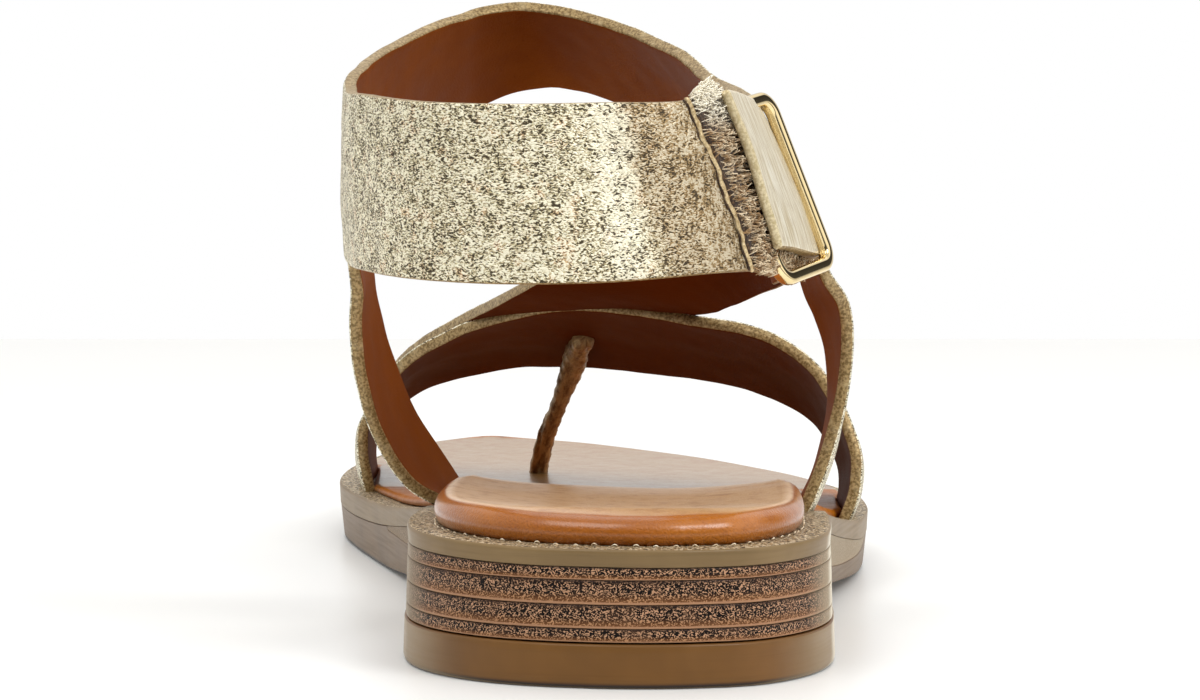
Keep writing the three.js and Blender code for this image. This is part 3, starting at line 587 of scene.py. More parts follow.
# painted shade: a darker copy of the lining leather for the instep and vamp straps, standing in for the shade inside
# the shoe
LINING_SHADED = lining_leather("lining_leather_painted_shade", (94, 40, 5))
FOLD = edge_paint("folded_edge", (226, 204, 160), (176, 150, 106))
RIDGE_SHADOW_PAINT = edge_paint("seam_shadow", (70, 46, 24), (40, 24, 10))
PAINT = edge_paint("edge_paint")
PAINT_END = edge_paint("edge_paint_end", (226, 212, 176), (188, 170, 128))
PAD = insole_leather("insole_leather")
PAD_SIDE = insole_leather("insole_leather_waist", 0.12, 0.0)
RAND_MAT = sole_plastic("rand_rubber", rim=True)
OUT_MAT = sole_plastic("outsole_rubber", (106, 80, 46))
TIP_MAT = sole_plastic("top_piece_rubber", (110, 74, 30), streak=0.6, grazing_sheen=(146, 124, 92))
WEDGE_MAT = stacked_leather("heel_stack")
PILE = fibre("loop_pile", (240, 222, 190), (170, 136, 96), tuft=True)
TAPE = tape("loop_tape")
METAL = polished("ring_metal")
ROLLED = rolled_leather("rolled_leather")
THREAD = fibre("thread", (252, 240, 214), (226, 202, 166))


# ---------------------------------------------------------------- straps
CORNER = 0.45


def ribbon(name, tab, middle, mats, u0=0.0, u1=None, crown=0.5, thick=STRAP, lift=0.0, wave=0.14, step=1.0,
           across=None, seed=1, round_ends=True, shape=None, tab_to=None, line=None):
    """Strap with rounded painted edges. lift, thick and shape may be functions of (u, v);
    line bends the two ends, as (u at v 0, u at v 1) for the first end."""
    u1 = len(tab["ax"]) - 1 if u1 is None else u1
    grid = np.linspace(u0, u1, 1600)
    mid = (edge(tab, "a", grid) + edge(tab, "b", grid)) / 2
    length = np.concatenate([[0], np.cumsum(np.linalg.norm(np.diff(mid, axis=0), axis=1))])
    total = length[-1]
    turn = np.radians([90, 60, 30, 0])
    r_end = 0.55 if round_ends else 0.0
    if round_ends:
        first = r_end * (1 - np.sin(turn))
        shrink = r_end * (1 - np.cos(turn))
        body = np.linspace(r_end, total - r_end, int((total - 2 * r_end) / step) + 1)[1:-1]
        s = np.concatenate([first, body, (total - first)[::-1]])
        c = np.concatenate([shrink, np.zeros(len(body)), shrink[::-1]])
    else:
        s = np.linspace(0, total, int(total / step) + 1)
        c = np.zeros(len(s))
    u = np.interp(s, length, grid)[:, None]
    c = c[:, None]
    width = np.linalg.norm(edge(tab, "b", u[:, 0]) - edge(tab, "a", u[:, 0]), axis=1)[:, None]
    t = (thick(u) if callable(thick) else column(tab, "t", u) if "t" in tab and thick is None else np.full_like(u, thick))
    r = np.minimum(CORNER, t * 0.4)
    count = across or int(max(width.max() / step, 12))
    j = np.linspace(0, 1, count + 1)[None, :]
    arc = np.radians([30, 60, 90])[None, :]
    back = arc[:, ::-1]
    mids = np.array([0.25, 0.5, 0.75])[None, :]
    bulge = 0.12 * np.sin(np.pi * mids)
    one = np.ones_like(arc)
    w = np.concatenate([
        r + (width - 2 * r) * j,
        width - r + r * np.sin(arc), width + bulge, width - r + r * np.sin(back),
        width - r - (width - 2 * r) * j,
        r - r * np.sin(arc), 0 * width - bulge, r - r * np.sin(back),
    ], 1)
    h = np.concatenate([
        0 * r * j,
        -r * (1 - np.cos(arc)), -r - (t - 2 * r) * mids, -t + r * (1 - np.cos(back)),
        -t + 0 * j,
        -t + r * (1 - np.cos(arc)), -t + r + (t - 2 * r) * mids, -r * (1 - np.cos(back)),
    ], 1)
    w = np.clip(w, c, width - c) if round_ends else w
    h = np.clip(h, -t + c, -c) if round_ends else h
    v = w / width
    uu = u + 0 * v
    if line is not None:
        near = soft(s, 0, 14)[:, None]
        uu = uu + (1 - near) * (line[0] + (line[1] - line[0]) * v - u0)
    p, n, _, along = face(tab, uu, v, crown, middle)
    rise = h + (lift(uu, v) if callable(lift) else lift)
    rise = rise + wave * ripple(p, 16, seed) + wave * 0.4 * ripple(p, 6, seed + 1)
    if shape is not None:
        rise = rise + shape(uu, v, p)
    p = p + n * rise[..., None]
    K, M = v.shape
    quads, kinds, uvs = [], [], []
    NO = count
    inner0 = NO + 1 + 9
    for m in range(M):
        m2 = (m + 1) % M
        if m < NO + 1:
            kind = 0
        elif m < NO + 9:
            kind = 2
        elif m < inner0 + NO + 1:
            kind = 1
        else:
            kind = 2 if m < M - 2 else 0
        for k in range(K - 1):
            quads.append((k * M + m, (k + 1) * M + m, (k + 1) * M + m2, k * M + m2))
            kk = kind
            if round_ends and (k < 3 or k >= K - 4):
                kk = 3
            elif tab_to is not None and kind == 0 and s[k] < tab_to:
                kk = 4
            kinds.append(kk)
            wm2 = w[k, m2] if m2 else w[k, 0]
            uvs += [(s[k], w[k, m]), (s[k + 1], w[k + 1, m]), (s[k + 1], w[k + 1, m2]), (s[k], wm2)]
    for k in (0, K - 1):
        for m in range(NO):
            a, b = k * M + m, k * M + m + 1
            i0, i1 = k * M + inner0 + NO - m, k * M + inner0 + NO - m - 1
            quads.append((a, b, i1, i0) if k == 0 else (a, i0, i1, b))
            kinds.append(3)
            uvs += [(s[k], 0)] * 4
        # the two narrow sides of the cap
        sideb = [k * M + q for q in range(NO, inner0 + 1)]
        sidea = [k * M + q % M for q in range(inner0 + NO, M + 1)]
        for loop in (sideb, sidea):
            quads.append(tuple(loop[::1] if k == 0 else loop[::-1]))
            kinds.append(3)
            uvs += [(s[k], 0)] * len(loop)
    verts = p.reshape(-1, 3)
    vol = 0.0
    q4 = np.array([q for q in quads if len(q) == 4])
    a, b, cc, d = (verts[q4[:, i]] for i in range(4))
    vol = (np.einsum("ij,ij->i", a, np.cross(b, cc)) + np.einsum("ij,ij->i", a, np.cross(cc, d))).sum()
    if vol < 0:
        flipped, new_uv, at = [], [], 0
        for q in quads:
            flipped.append(tuple(q[::-1]))
            new_uv += uvs[at:at + len(q)][::-1]
            at += len(q)
        quads, uvs = flipped, new_uv
    return build(name, verts, quads, mats, kinds, uvs)


def rod(centres, radii, sides=6, normals=None, flat=1.0, closed=False):
    """Tube of points and faces along a line; flat squeezes it along the given normals."""
    c = np.asarray(centres, float)
    n = len(c)
    tang = unit(np.roll(c, -1, 0) - np.roll(c, 1, 0)) if closed else unit(np.gradient(c, axis=0))
    if normals is None:
        ref = np.array([0.0, 0.0, 1.0]) if abs(tang[0][2]) < 0.8 else np.array([1.0, 0.0, 0.0])
        normals = []
        for i in range(n):
            ref = unit(ref - tang[i] * np.dot(ref, tang[i]))
            normals.append(ref)
        normals = np.array(normals)
    else:
        normals = unit(normals - tang * (normals * tang).sum(-1, keepdims=True))
    side = np.cross(tang, normals)
    ang = np.arange(sides) / sides * 2 * np.pi
    radii = np.broadcast_to(np.asarray(radii, float), (n,))
    ring = (normals[:, None, :] * np.cos(ang)[None, :, None] * flat + side[:, None, :] * np.sin(ang)[None, :, None])
    pts = c[:, None, :] + ring * radii[:, None, None]
    faces = []
    last = n if closed else n - 1
    for i in range(last):
        j = (i + 1) % n
        for k in range(sides):
            l = (k + 1) % sides
            faces.append((i * sides + k, i * sides + l, j * sides + l, j * sides + k))
    if not closed:
        faces.append(tuple(range(sides))[::-1])
        faces.append(tuple((n - 1) * sides + k for k in range(sides)))
    return pts.reshape(-1, 3), faces


def gather(parts):
    verts, faces, at = [], [], 0
    for v, f in parts:
        verts.append(v)
        faces += [tuple(i + at for i in q) for q in f]
        at += len(v)
    return np.concatenate(verts), faces


def stitches(name, line, normals, pitch=3.1, length=2.2, radius=0.2, mat=None, sink=0.25, jitter=0.1, seed=5, wobble=0.05):
    """A row of separate thread stitches along a line of points with outward normals."""
    rng = np.random.default_rng(seed)
    line, normals = np.asarray(line, float), unit(np.asarray(normals, float))
    s = np.concatenate([[0], np.cumsum(np.linalg.norm(np.diff(line, axis=0), axis=1))])
    parts = []
    at = pitch * 0.5
    while at + length / 2 < s[-1]:
        mid = at + rng.normal() * jitter
        half = length / 2 * (1 + rng.normal() * 0.05)
        q = np.linspace(mid - half, mid + half, 7)
        pts = np.stack([np.interp(q, s, line[:, i]) for i in range(3)], -1)
        nn = unit(np.stack([np.interp(q, s, normals[:, i]) for i in range(3)], -1))
        arch = np.sin(np.linspace(0, np.pi, 7))
        pts = pts + nn * (radius * 0.9 * arch - sink * (1 - arch))[:, None] + rng.normal(size=3) * wobble
        parts.append(rod(pts, radius * (0.75 + 0.25 * arch), 6, nn))
        at += pitch
    v, f = gather(parts)
    return build(name, v, f, [mat or THREAD])


STRAP_MATS = [GOLD, LINING, PAINT, PAINT_END, TAB]
FORE_MATS = [GOLD, LINING_SHADED, PAINT, PAINT_END, TAB]

instep_rows = list(INSTEP_FREE)
for au, av, bu, bv in INSTEP_ON_VAMP:
    pa, na, _, _ = face(VAMP, au, av, CROWN_VAMP, FOOT)
    pb, nb, _, _ = face(VAMP, bu, bv, CROWN_VAMP, FOOT)
    instep_rows.append(tuple(pa + na * (STRAP - 0.05)) + tuple(pb + nb * (STRAP - 0.05)))
INSTEP = table(EDGES, instep_rows)

REAR_BAR = (RING[0], RING[3])


def near_bar(p, reach):
    """1 at the ring's rear bar and 0 away from it, by distance in the strap's plane."""
    a, b = REAR_BAR
    d = unit(b - a)
    q = p - a
    off = q - (q @ d)[..., None] * d
    return np.exp(-(np.linalg.norm(off, axis=-1) / reach) ** 2)


vamp = ribbon("vamp_strap", VAMP, FOOT, FORE_MATS, crown=CROWN_VAMP, seed=11, round_ends=False)
instep = ribbon("instep_strap", INSTEP, ARCH, FORE_MATS, crown=0.9, seed=23,
                lift=lambda u, v: -1.9 * (1 - soft(u, 0.0, 1.1)))
medial = ribbon("medial_side_strap", MEDIAL_SIDE, SIDE, STRAP_MATS, seed=37, round_ends=False,
                thick=lambda u: STRAP - 0.5 * soft(u, 5.6, 6.7),
                lift=lambda u, v: 1.35 * soft(u, 5.6, 6.7) - 0.2 * (1 - soft(u, 0, 1)))
lateral = ribbon("lateral_side_strap", LATERAL_SIDE, SIDE, STRAP_MATS, seed=41, round_ends=False,
                 thick=lambda u: STRAP - 0.5 * soft(u, 5.6, 6.7),
                 lift=lambda u, v: -0.3 * soft(u, 5.6, 6.7) - 0.2 * (1 - soft(u, 0, 1)))


def cuff_shape(u, v, p):
    """The tab rides over the ring's rear bar, and the band is pressed in under it."""
    over = near_bar(p, 3.2)
    tab = np.where(u < 3.0, over * 0.75, 0.0)
    band = np.where(u > 16.0, -over * 0.25, 0.0)
    # soft troughs where the loop bends at the ankle
    crease = 0.0
    for at, slope, deep, wide in ((9.0, 0.25, 0.35, 0.22), (10.7, -0.3, 0.28, 0.2), (5.6, 0.35, 0.3, 0.22), (13.2, 0.1, 0.22, 0.2)):
        crease = crease - deep * np.exp(-((u - at - slope * (v - 0.5)) / wide) ** 2) * (0.6 + 0.4 * np.cos(np.pi * (v - 0.3)))
    return tab + band + crease


cuff = ribbon("ankle_cuff", CUFF, ANKLE, STRAP_MATS, thick=None, seed=53, shape=cuff_shape, tab_to=20.0, wave=0.16)
for o in (vamp, instep, medial, lateral, cuff):
    seat(o, "upper", "upper")


# ---------------------------------------------------------------- closure
def ridge_u(v):
    return 5.0 + 0.72 * v


vs = np.linspace(-0.02, 1.02, 90)
rp, rn, _, ra = face(BACK_BAND, ridge_u(np.clip(vs, 0, 1)), np.clip(vs, 0, 1), 0.5, ANKLE)
dist = vs * 23
wob = 0.22 * np.sin(dist * 0.8 + 0.4) + 0.12 * np.sin(dist * 2.1)
rp = rp + ra * wob[:, None] + rn * 0.16
pinch = 1 + 0.12 * np.cos(dist * 2 * np.pi / 1.7)
v_, f_ = rod(rp, 0.38 * pinch, 10, rn, flat=0.9)
ridge = build("patch_edge_ridge", v_, f_, [FOLD])
seat(ridge, "upper")
# painted shadow: a thin dark rod along one side of the ridge stands in for the shade beside it
v_, f_ = rod(rp - ra * 0.5 + rn * -0.04, 0.15 * (1 + 0.3 * np.sin(dist * 3.1)), 8, rn)
ridge_shadow = build("patch_edge_painted_shadow", v_, f_, [RIDGE_SHADOW_PAINT])
seat(ridge_shadow, "upper")

sliver = ribbon("loop_tape", BACK_BAND, ANKLE, [TAPE] * 5, u0=5.0, u1=8.1, crown=0.5, thick=0.6, lift=0.55, wave=0.05,
                seed=61, line=(5.03, 5.75), shape=lambda u, v, p: -0.3 * near_bar(p, 2.6))
seat(sliver, "loop_pile", "loop_patch")


def pile():
    rng = np.random.default_rng(77)
    parts = []

    def loops(count, pick, height, span, radius, lean=0.0):
        for _ in range(count):
            u, v = pick()
            p, n, w, a = face(BACK_BAND, u, min(max(v, 0.0), 1.0), 0.5, ANKLE)
            over = v - min(max(v, 0.0), 1.0)
            p = p + w * over * 23
            ang = rng.uniform(0, 2 * np.pi)
            d = w * math.cos(ang) + a * math.sin(ang)
            side = w * -math.sin(ang) + a * math.cos(ang)
            hgt, spn = rng.uniform(*height), rng.uniform(*span)
            q = np.linspace(-0.15, 1.15, 8)
            bow = rng.normal() * 0.25
            press = 1 - 0.75 * float(near_bar(p, 1.7))
            out = w * (over * 30 if abs(over) > 0 else 0)
            pts = (p + n * 0.45 + d * ((q - 0.5) * spn)[:, None] + n * (hgt * press * np.sin(np.pi * np.clip(q, -0.1, 1.1)))[:, None]
                   + side * (bow * np.sin(np.pi * q))[:, None] + a * (lean * np.sin(np.pi * q))[:, None] + out * np.sin(np.pi * q)[:, None] * 0.5)
            parts.append(rod(pts, radius * rng.uniform(0.8, 1.2), 3))

    def strip():
        v = rng.uniform(-0.01, 1.01)
        lo = ridge_u(v) + 0.05
        return rng.uniform(lo, 5.72 + 0.42 * v), v

    def foot():
        return rng.uniform(5.75, 8.7), rng.uniform(0.86, 1.03)

    def top():
        return rng.uniform(5.1, 5.72), rng.uniform(-0.045, 0.05)

    def under():
        return rng.uniform(6.0, 8.0), rng.uniform(0.02, 0.9)

    def below():
        for _ in range(420):
            y = rng.uniform(17, 42)
            ub = float(np.interp(y, BACK_BAND["by"][5:], np.arange(5, len(BACK_BAND["by"]))))
            ut = float(np.interp(y, FRONT_CUFF_Y[:5], np.arange(5)))
            pb, nb, wb, ab = face(BACK_BAND, ub, 0.99, 0.5, ANKLE)
            pt, nt, _, _ = face(CUFF, ut, 0.985, 0.5, ANKLE)
            f = rng.uniform(0.1, 0.92)
            p = pb * (1 - f) + (pt - nt * 1.6) * f + wb * rng.uniform(-0.6, 0.4)
            ang = rng.uniform(0, 2 * np.pi)
            d = ab * math.cos(ang) + nb * math.sin(ang)
            spn, hgt = rng.uniform(0.7, 1.3), rng.uniform(0.4, 1.0)
            q = np.linspace(-0.1, 1.1, 8)
            pts = p + d * ((q - 0.5) * spn)[:, None] + wb * (hgt * np.sin(np.pi * np.clip(q, 0, 1)))[:, None]
            parts.append(rod(pts, 0.08 * rng.uniform(0.8, 1.2), 3))

    below()
    def beside():
        v = rng.uniform(-0.01, 1.0)
        return rng.uniform(5.66, 5.92) + 0.42 * v, v

    loops(230, beside, (0.9, 1.7), (0.6, 1.2), 0.08, lean=0.5)
    loops(330, strip, (0.7, 1.5), (0.6, 1.3), 0.085)
    loops(760, foot, (0.5, 1.3), (0.6, 1.3), 0.08)
    loops(190, top, (0.6, 1.2), (0.6, 1.1), 0.075)
    loops(340, under, (0.15, 0.35), (0.5, 0.9), 0.06)
    return gather(parts)


v_, f_ = pile()
hair = build("loop_pile", v_, f_, [PILE])
seat(hair, "loop_pile")

# ring: rounded rectangle of flattened wire
path, outs = [], []
plane = unit(np.cross(RING[1] - RING[0], RING[3] - RING[0]))
for i in range(4):
    p = RING[i]
    back, on = unit(RING[(i + 3) % 4] - p), unit(RING[(i + 1) % 4] - p)
    c = p + back * RING_CORNER + on * RING_CORNER
    for k in range(13):
        a = k / 12 * math.pi / 2
        path.append(c - on * RING_CORNER * math.cos(a) - back * RING_CORNER * math.sin(a))
path = np.array(path)
full = []
for i in range(len(path)):
    a, b = path[i], path[(i + 1) % len(path)]
    steps = max(1, int(np.linalg.norm(b - a) / 1.2))
    for k in range(steps):
        full.append(a + (b - a) * k / steps)
full = np.array(full)
tang = unit(np.roll(full, -1, 0) - np.roll(full, 1, 0))
across_ = np.cross(tang, plane)
verts, SIDES = [], 20
for k in range(SIDES):
    a = k / SIDES * 2 * math.pi
    ca, sa = math.cos(a), math.sin(a)
    e = 2 / 2.9
    verts.append(full + plane * (abs(ca) ** e * np.sign(ca) * BAR * 0.92) + across_ * (abs(sa) ** e * np.sign(sa) * BAR * 0.98))
verts = np.stack(verts, 1).reshape(-1, 3)
n_ = len(full)
faces = [(i * SIDES + k, i * SIDES + (k + 1) % SIDES, ((i + 1) % n_) * SIDES + (k + 1) % SIDES, ((i + 1) % n_) * SIDES + k)
         for i in range(n_) for k in range(SIDES)]
ring = build("buckle_ring_metal", verts, orient(verts, faces), [METAL])
seat(ring, "ring", "buckle_ring")

# ---------------------------------------------------------------- toe post
uq = np.linspace(0, 6, 110)
cx, cy, cz, cr = (column(POST, k, uq) for k in ("x", "y", "z", "r"))
centre = np.stack([cx, cy, cz], -1)
rng = np.random.default_rng(9)
SIDES = 28
v_, f_ = rod(centre, cr, SIDES)
v_ = v_.reshape(len(uq), SIDES, 3)
s_ = np.concatenate([[0], np.cumsum(np.linalg.norm(np.diff(centre, axis=0), axis=1))])
ang = np.arange(SIDES) / SIDES * 2 * np.pi
twist = ang[None, :] + s_[:, None] * 0.16
swell = (1 + 0.07 * np.sin(2 * twist) + 0.045 * np.sin(s_[:, None] * 1.9 + 2 * np.sin(twist)) + 0.03 * np.sin(s_[:, None] * 4.3 + 3 * twist)
         - 0.22 * np.exp(-((np.mod(twist, 2 * np.pi) - 3.1) / 0.22) ** 2))
dome = np.sqrt(np.clip(1 - (1 - np.clip(s_ / 1.6, 0, 1)) ** 2, 0.02, 1))
v_ = centre[:, None, :] + (v_ - centre[:, None, :]) * (swell * dome[:, None])[..., None]
uvs = []
for q in f_:
    for i in q:
        k = i % SIDES
        uvs.append((s_[i // SIDES], k / SIDES * 10))
post = build("toe_post_cord", v_.reshape(-1, 3), f_, [ROLLED], uvs=uvs)
seat(post, "toe_post", "toe_post")


# ---------------------------------------------------------------- sole
def row_at(y):
    return float(np.interp(y, column(SOLE, "y", np.linspace(0, 20, 4001)), np.linspace(0, 20, 4001)))


def side_line(u, key, sign, inset):
    h = 0.08
    u0, u1 = np.maximum(0, u - h), np.minimum(20, u + h)
    dx, dy = column(SOLE, key, u1) - column(SOLE, key, u0), column(SOLE, "y", u1) - column(SOLE, "y", u0)
    l = np.hypot(dx, dy)
    return np.stack([column(SOLE, key, u) - sign * dy / l * inset, column(SOLE, "y", u) + sign * dx / l * inset], -1)


def plan(u, v, inset_m, inset_l=None):
    m = side_line(u, "xm", -1, inset_m)
    l = side_line(u, "xl", 1, inset_m if inset_l is None else inset_l)
    xy = m + (l - m) * np.asarray(v)[..., None]
    y = column(SOLE, "y", u)
    round_ = 4 * v * (1 - v)
    heel = 0.55 * round_ * np.clip(1 - y / 11, 0, 1) ** 2
    toe = 0.75 * round_ * np.clip(1 - (247.2 - y) / 8, 0, 1) ** 2
    xy[..., 1] += toe - heel
    return xy


def rand_top(u, v):
    return column(SOLE, "zm", u) * (1 - v) + column(SOLE, "zl", u) * v


def rand_low(u, v):
    return rand_top(u, v) - column(SOLE, "rand", u)


def layer(name, mats, u_from, u_to, profile, cap_top, cap_low, cols=12, cut=False, inset_fn=None, wall=0, rows=None, spacing=1.3):
    """Sole layer: profile is a list of functions (u, v) -> (inset, z) from the top edge to the bottom edge;
    cap_top and cap_low give z inside them."""
    if rows is None:
        y0, y1 = column(SOLE, "y", u_from), column(SOLE, "y", u_to)
        ys = np.linspace(y0, y1, int((y1 - y0) / spacing) + 1)
        near = np.array([0.12, 0.35, 0.7])
        ys = np.unique(np.concatenate([ys, y0 + near, y1 - near]))
        rows = np.array([row_at(y) for y in ys])
        rows[0], rows[-1] = u_from, u_to
    N, M = len(rows) - 1, cols
    cols_v = (1 - np.cos(np.linspace(0, np.pi, M + 1))) / 2 * 0.5 + np.linspace(0, 1, M + 1) * 0.5
    order = [(0, j) for j in range(M + 1)] + [(i, M) for i in range(1, N + 1)] + [(N, j) for j in range(M - 1, -1, -1)] + [(i, 0) for i in range(N - 1, 0, -1)]
    oi = np.array([i for i, _ in order])
    oj = np.array([j for _, j in order])
    U, Vv = rows[oi], cols_v[oj]
    rings = []
    for prof in profile:
        inset, z = prof(U, Vv)
        inset = inset + 0 * U
        extra_m = inset_fn(U, 0) if inset_fn else 0
        extra_l = inset_fn(U, 1) if inset_fn else 0
        xy = plan(U, Vv, inset + extra_m, inset + extra_l)
        if cut:
            end = oi == N
            xy[end, 1] -= inset[end]
        rings.append(np.column_stack([xy, z + 0 * U]))
    P = len(order)
    verts = np.concatenate(rings)
    faces, uvs = [], []
    R = len(rings)
    perim = np.concatenate([[0], np.cumsum(np.linalg.norm(np.diff(rings[R // 2], axis=0), axis=1))])
    zt = rings[0][:, 2]
    zb = rings[-1][:, 2]
    level = [(rg[:, 2] - zb) / np.maximum(zt - zb, 1e-6) for rg in rings]
    for r in range(R - 1):
        for k in range(P):
            l = (k + 1) % P
            faces.append((r * P + k, (r + 1) * P + k, (r + 1) * P + l, r * P + l))
            pk, pl = perim[k], perim[k] + 1.0 if l == 0 else perim[l]
            uvs += [(pk, level[r][k]), (pk, level[r + 1][k]), (pl, level[r + 1][l]), (pl, level[r][l])]
    index = {(i, j): k for k, (i, j) in enumerate(order)}
    at = len(verts)
    inner_i, inner_j = np.meshgrid(np.arange(1, N), np.arange(1, M), indexing="ij")
    Ui, Vi = rows[inner_i], cols_v[inner_j]
    for base, cap, prof, up in ((0, cap_top, profile[0], True), ((R - 1) * P, cap_low, profile[-1], False)):
        inset, _ = prof(Ui, Vi)
        inset = inset + 0 * Ui
        extra_m = inset_fn(Ui, 0) if inset_fn else 0
        extra_l = inset_fn(Ui, 1) if inset_fn else 0
        xy = plan(Ui, Vi, inset + extra_m, inset + extra_l)
        z = cap(Ui, Vi) + 0 * Ui
        if cut:
            last = rows[N] - rows[N - 1]
        new = np.concatenate([xy, z[..., None]], -1).reshape(-1, 3)
        verts = np.concatenate([verts, new])

        def ref(i, j, base=base, at=at):
            k = index.get((i, j))
            return base + k if k is not None else at + (i - 1) * (M - 1) + (j - 1)
        for i in range(N):
            for j in range(M):
                q = (ref(i, j), ref(i, j + 1), ref(i + 1, j + 1), ref(i + 1, j))
                faces.append(q if up else q[::-1])
                lv = 1.0 if up else 0.0
                uvs += [(0, lv)] * 4
        at += len(new)
    v = verts
    f = np.array(faces)
    a, b, c, d = (v[f[:, i]] for i in range(4))
    vol = (np.einsum("ij,ij->i", a, np.cross(b, c)) + np.einsum("ij,ij->i", a, np.cross(c, d))).sum()
    if vol < 0:
        faces = [q[::-1] for q in faces]
        uvs = [x for i in range(0, len(uvs), 4) for x in uvs[i:i + 4][::-1]]
    return build(name, verts, faces, mats, None, uvs)


def slab_profile(top, low, inset_top, inset_low, r_top, r_low, waist=0.0, side_steps=5):
    """Rounded corners between a top and a bottom surface."""
    out = []
    turn = np.radians([0, 30, 60, 90])
    for a in turn:
        out.append(lambda u, v, a=a: (inset_top(u) + r_top * (1 - math.sin(a)), top(u, v) - r_top * (1 - math.cos(a))))
    for k in range(1, side_steps):
        f = k / side_steps
        out.append(lambda u, v, f=f: (
            inset_top(u) * (1 - f) + inset_low(u) * f + waist * math.sin(math.pi * f),
            (top(u, v) - r_top) * (1 - f) + (low(u, v) + r_low) * f))
    for a in turn[::-1]:
        out.append(lambda u, v, a=a: (inset_low(u) + r_low * (1 - math.sin(a)), low(u, v) + r_low * (1 - math.cos(a))))
    return out


breast = row_at(HEEL_BREAST)
wedge_end = row_at(WEDGE_TIP)
GAP = 0.3


def flat(value):
    return lambda u: value + 0 * np.asarray(u, float)


rand = layer("rand_welt", [RAND_MAT], 0, 20, slab_profile(rand_top, rand_low, flat(0.0), flat(0.15), 0.45, 0.12),
             rand_top, rand_low, cols=14, spacing=1.0)
seat(rand, "rand", "rand")


def wedge(u):
    return np.maximum(0, column(SOLE, "wedge", u))


def tread(u, v=0):
    return np.maximum(0, column(SOLE, "tread", u))


def out_top(u, v):
    return rand_low(u, v) - 0.05 - np.where(u < wedge_end, wedge(u), 0)


outsole = layer("outsole_body", [OUT_MAT], row_at(HEEL_BREAST + 0.1), 20,
                slab_profile(out_top, lambda u, v: tread(u) + 0 * v, flat(0.25), flat(0.75), 0.25, 0.6),
                out_top, lambda u, v: tread(u) + 0 * v, cols=14, spacing=1.3)
seat(outsole, "outsole", "outsole")


def flare(z):
    return -HEEL_FLARE * (1 - z / 18.6)


def lift2_top(u, v):
    return np.minimum(LIFT_2, rand_low(u, v) - GAP - 0.5)


def heel_layer(name, mat, top, low, z_top, z_low, extra=0.0, r_top=0.28, r_low=0.14, to=breast):
    return layer(name, [mat], 0, to, slab_profile(top, low, flat(extra + flare(z_top)), flat(extra + flare(z_low)), r_top, r_low),
                 top, low, cols=12, cut=True, spacing=1.3)


lift1 = heel_layer("heel_lift_1_layer", WEDGE_MAT, lambda u, v: rand_low(u, v) - 0.06, lambda u, v: lift2_top(u, v) - 0.0,
                   15.7, LIFT_2, 0.2, 0.22, 0.12)
lift2 = heel_layer("heel_lift_2_layer", WEDGE_MAT, lambda u, v: lift2_top(u, v) - 0.05, lambda u, v: LIFT_3 + 0 * v, LIFT_2, LIFT_3, 0.15)
lift3 = heel_layer("heel_lift_3_layer", WEDGE_MAT, lambda u, v: LIFT_3 - 0.05 + 0 * v, lambda u, v: LIFT_4 + 0 * v, LIFT_3, LIFT_4, 0.15)
lift4 = heel_layer("heel_lift_4_layer", WEDGE_MAT, lambda u, v: LIFT_4 - 0.05 + 0 * v, lambda u, v: TIP_TOP + 0 * v, LIFT_4, TIP_TOP, 0.15)
tip = heel_layer("heel_tip", TIP_MAT, lambda u, v: TIP_TOP - 0.25 + 0 * v, lambda u, v: 0.0 + 0 * v, TIP_TOP, 0.0, -0.05, 0.35, 0.65)
shank = layer("shank_wedge", [WEDGE_MAT], row_at(HEEL_BREAST - 1), wedge_end,
              slab_profile(lambda u, v: rand_low(u, v) - 0.03, lambda u, v: rand_low(u, v) - 0.05 - np.maximum(0.2, wedge(u)) - 0.02,
                           flat(0.2), flat(0.28), 0.12, 0.1),
              lambda u, v: rand_low(u, v) - 0.03, lambda u, v: rand_low(u, v) - 0.07 - np.maximum(0.2, wedge(u)), cols=12, spacing=1.5)
seat(lift1, "heel_stack", "heel_lift_1")
seat(shank, "heel_stack")
seat(lift2, "heel_stack", "heel_lift_2")
seat(lift3, "heel_stack", "heel_lift_3")
seat(lift4, "heel_stack", "heel_lift_4")
seat(tip, "top_piece", "top_piece")


# ---------------------------------------------------------------- insole
def leg_need(tab, key_edge, sign):
    """Plan line of a strap's inner face near the insole, as (y, x) of its two edges."""
    pa, na, _, _ = face(tab, 0.75, 0.0, 0, FOOT if tab is VAMP else SIDE)
    pb, nb, _, _ = face(tab, 0.75, 1.0, 0, FOOT if tab is VAMP else SIDE)
    return (pa - na * STRAP), (pb - nb * STRAP)


def leg_need_end(tab):
    top = len(tab["ax"]) - 1
    pa, na, _, _ = face(tab, top - 0.6, 0.0, 0, FOOT)
    pb, nb, _, _ = face(tab, top - 0.6, 1.0, 0, FOOT)
    return (pa - na * STRAP), (pb - nb * STRAP)


LEGS = {0: [leg_need(VAMP, "a", -1), leg_need(MEDIAL_SIDE, "a", -1)], 1: [leg_need_end(VAMP), leg_need(LATERAL_SIDE, "a", 1)]}


def notch(u, side):
    """Extra inset of the insole's edge so it clears the straps that go down beside it."""
    y = column(SOLE, "y", u)
    x_edge = column(SOLE, "xm" if side == 0 else "xl", u)
    out = np.zeros_like(y)
    for pa, pb in LEGS[side]:
        f = np.clip((y - pa[1]) / (pb[1] - pa[1]), 0, 1)
        x = pa[0] + (pb[0] - pa[0]) * f
        need = (x - x_edge if side == 0 else x_edge - x) + 0.15 - RIM
        gate = soft(y, pa[1] - 3.2, pa[1] - 0.4) * (1 - soft(y, pb[1] + 0.4, pb[1] + 3.2))
        out = np.maximum(out, np.maximum(need, 0) * gate)
    return out


def pad_h(u):
    return column(SOLE, "pad", u)


def pad_r(u):
    return 0.3 + 0.5 * pad_h(u)


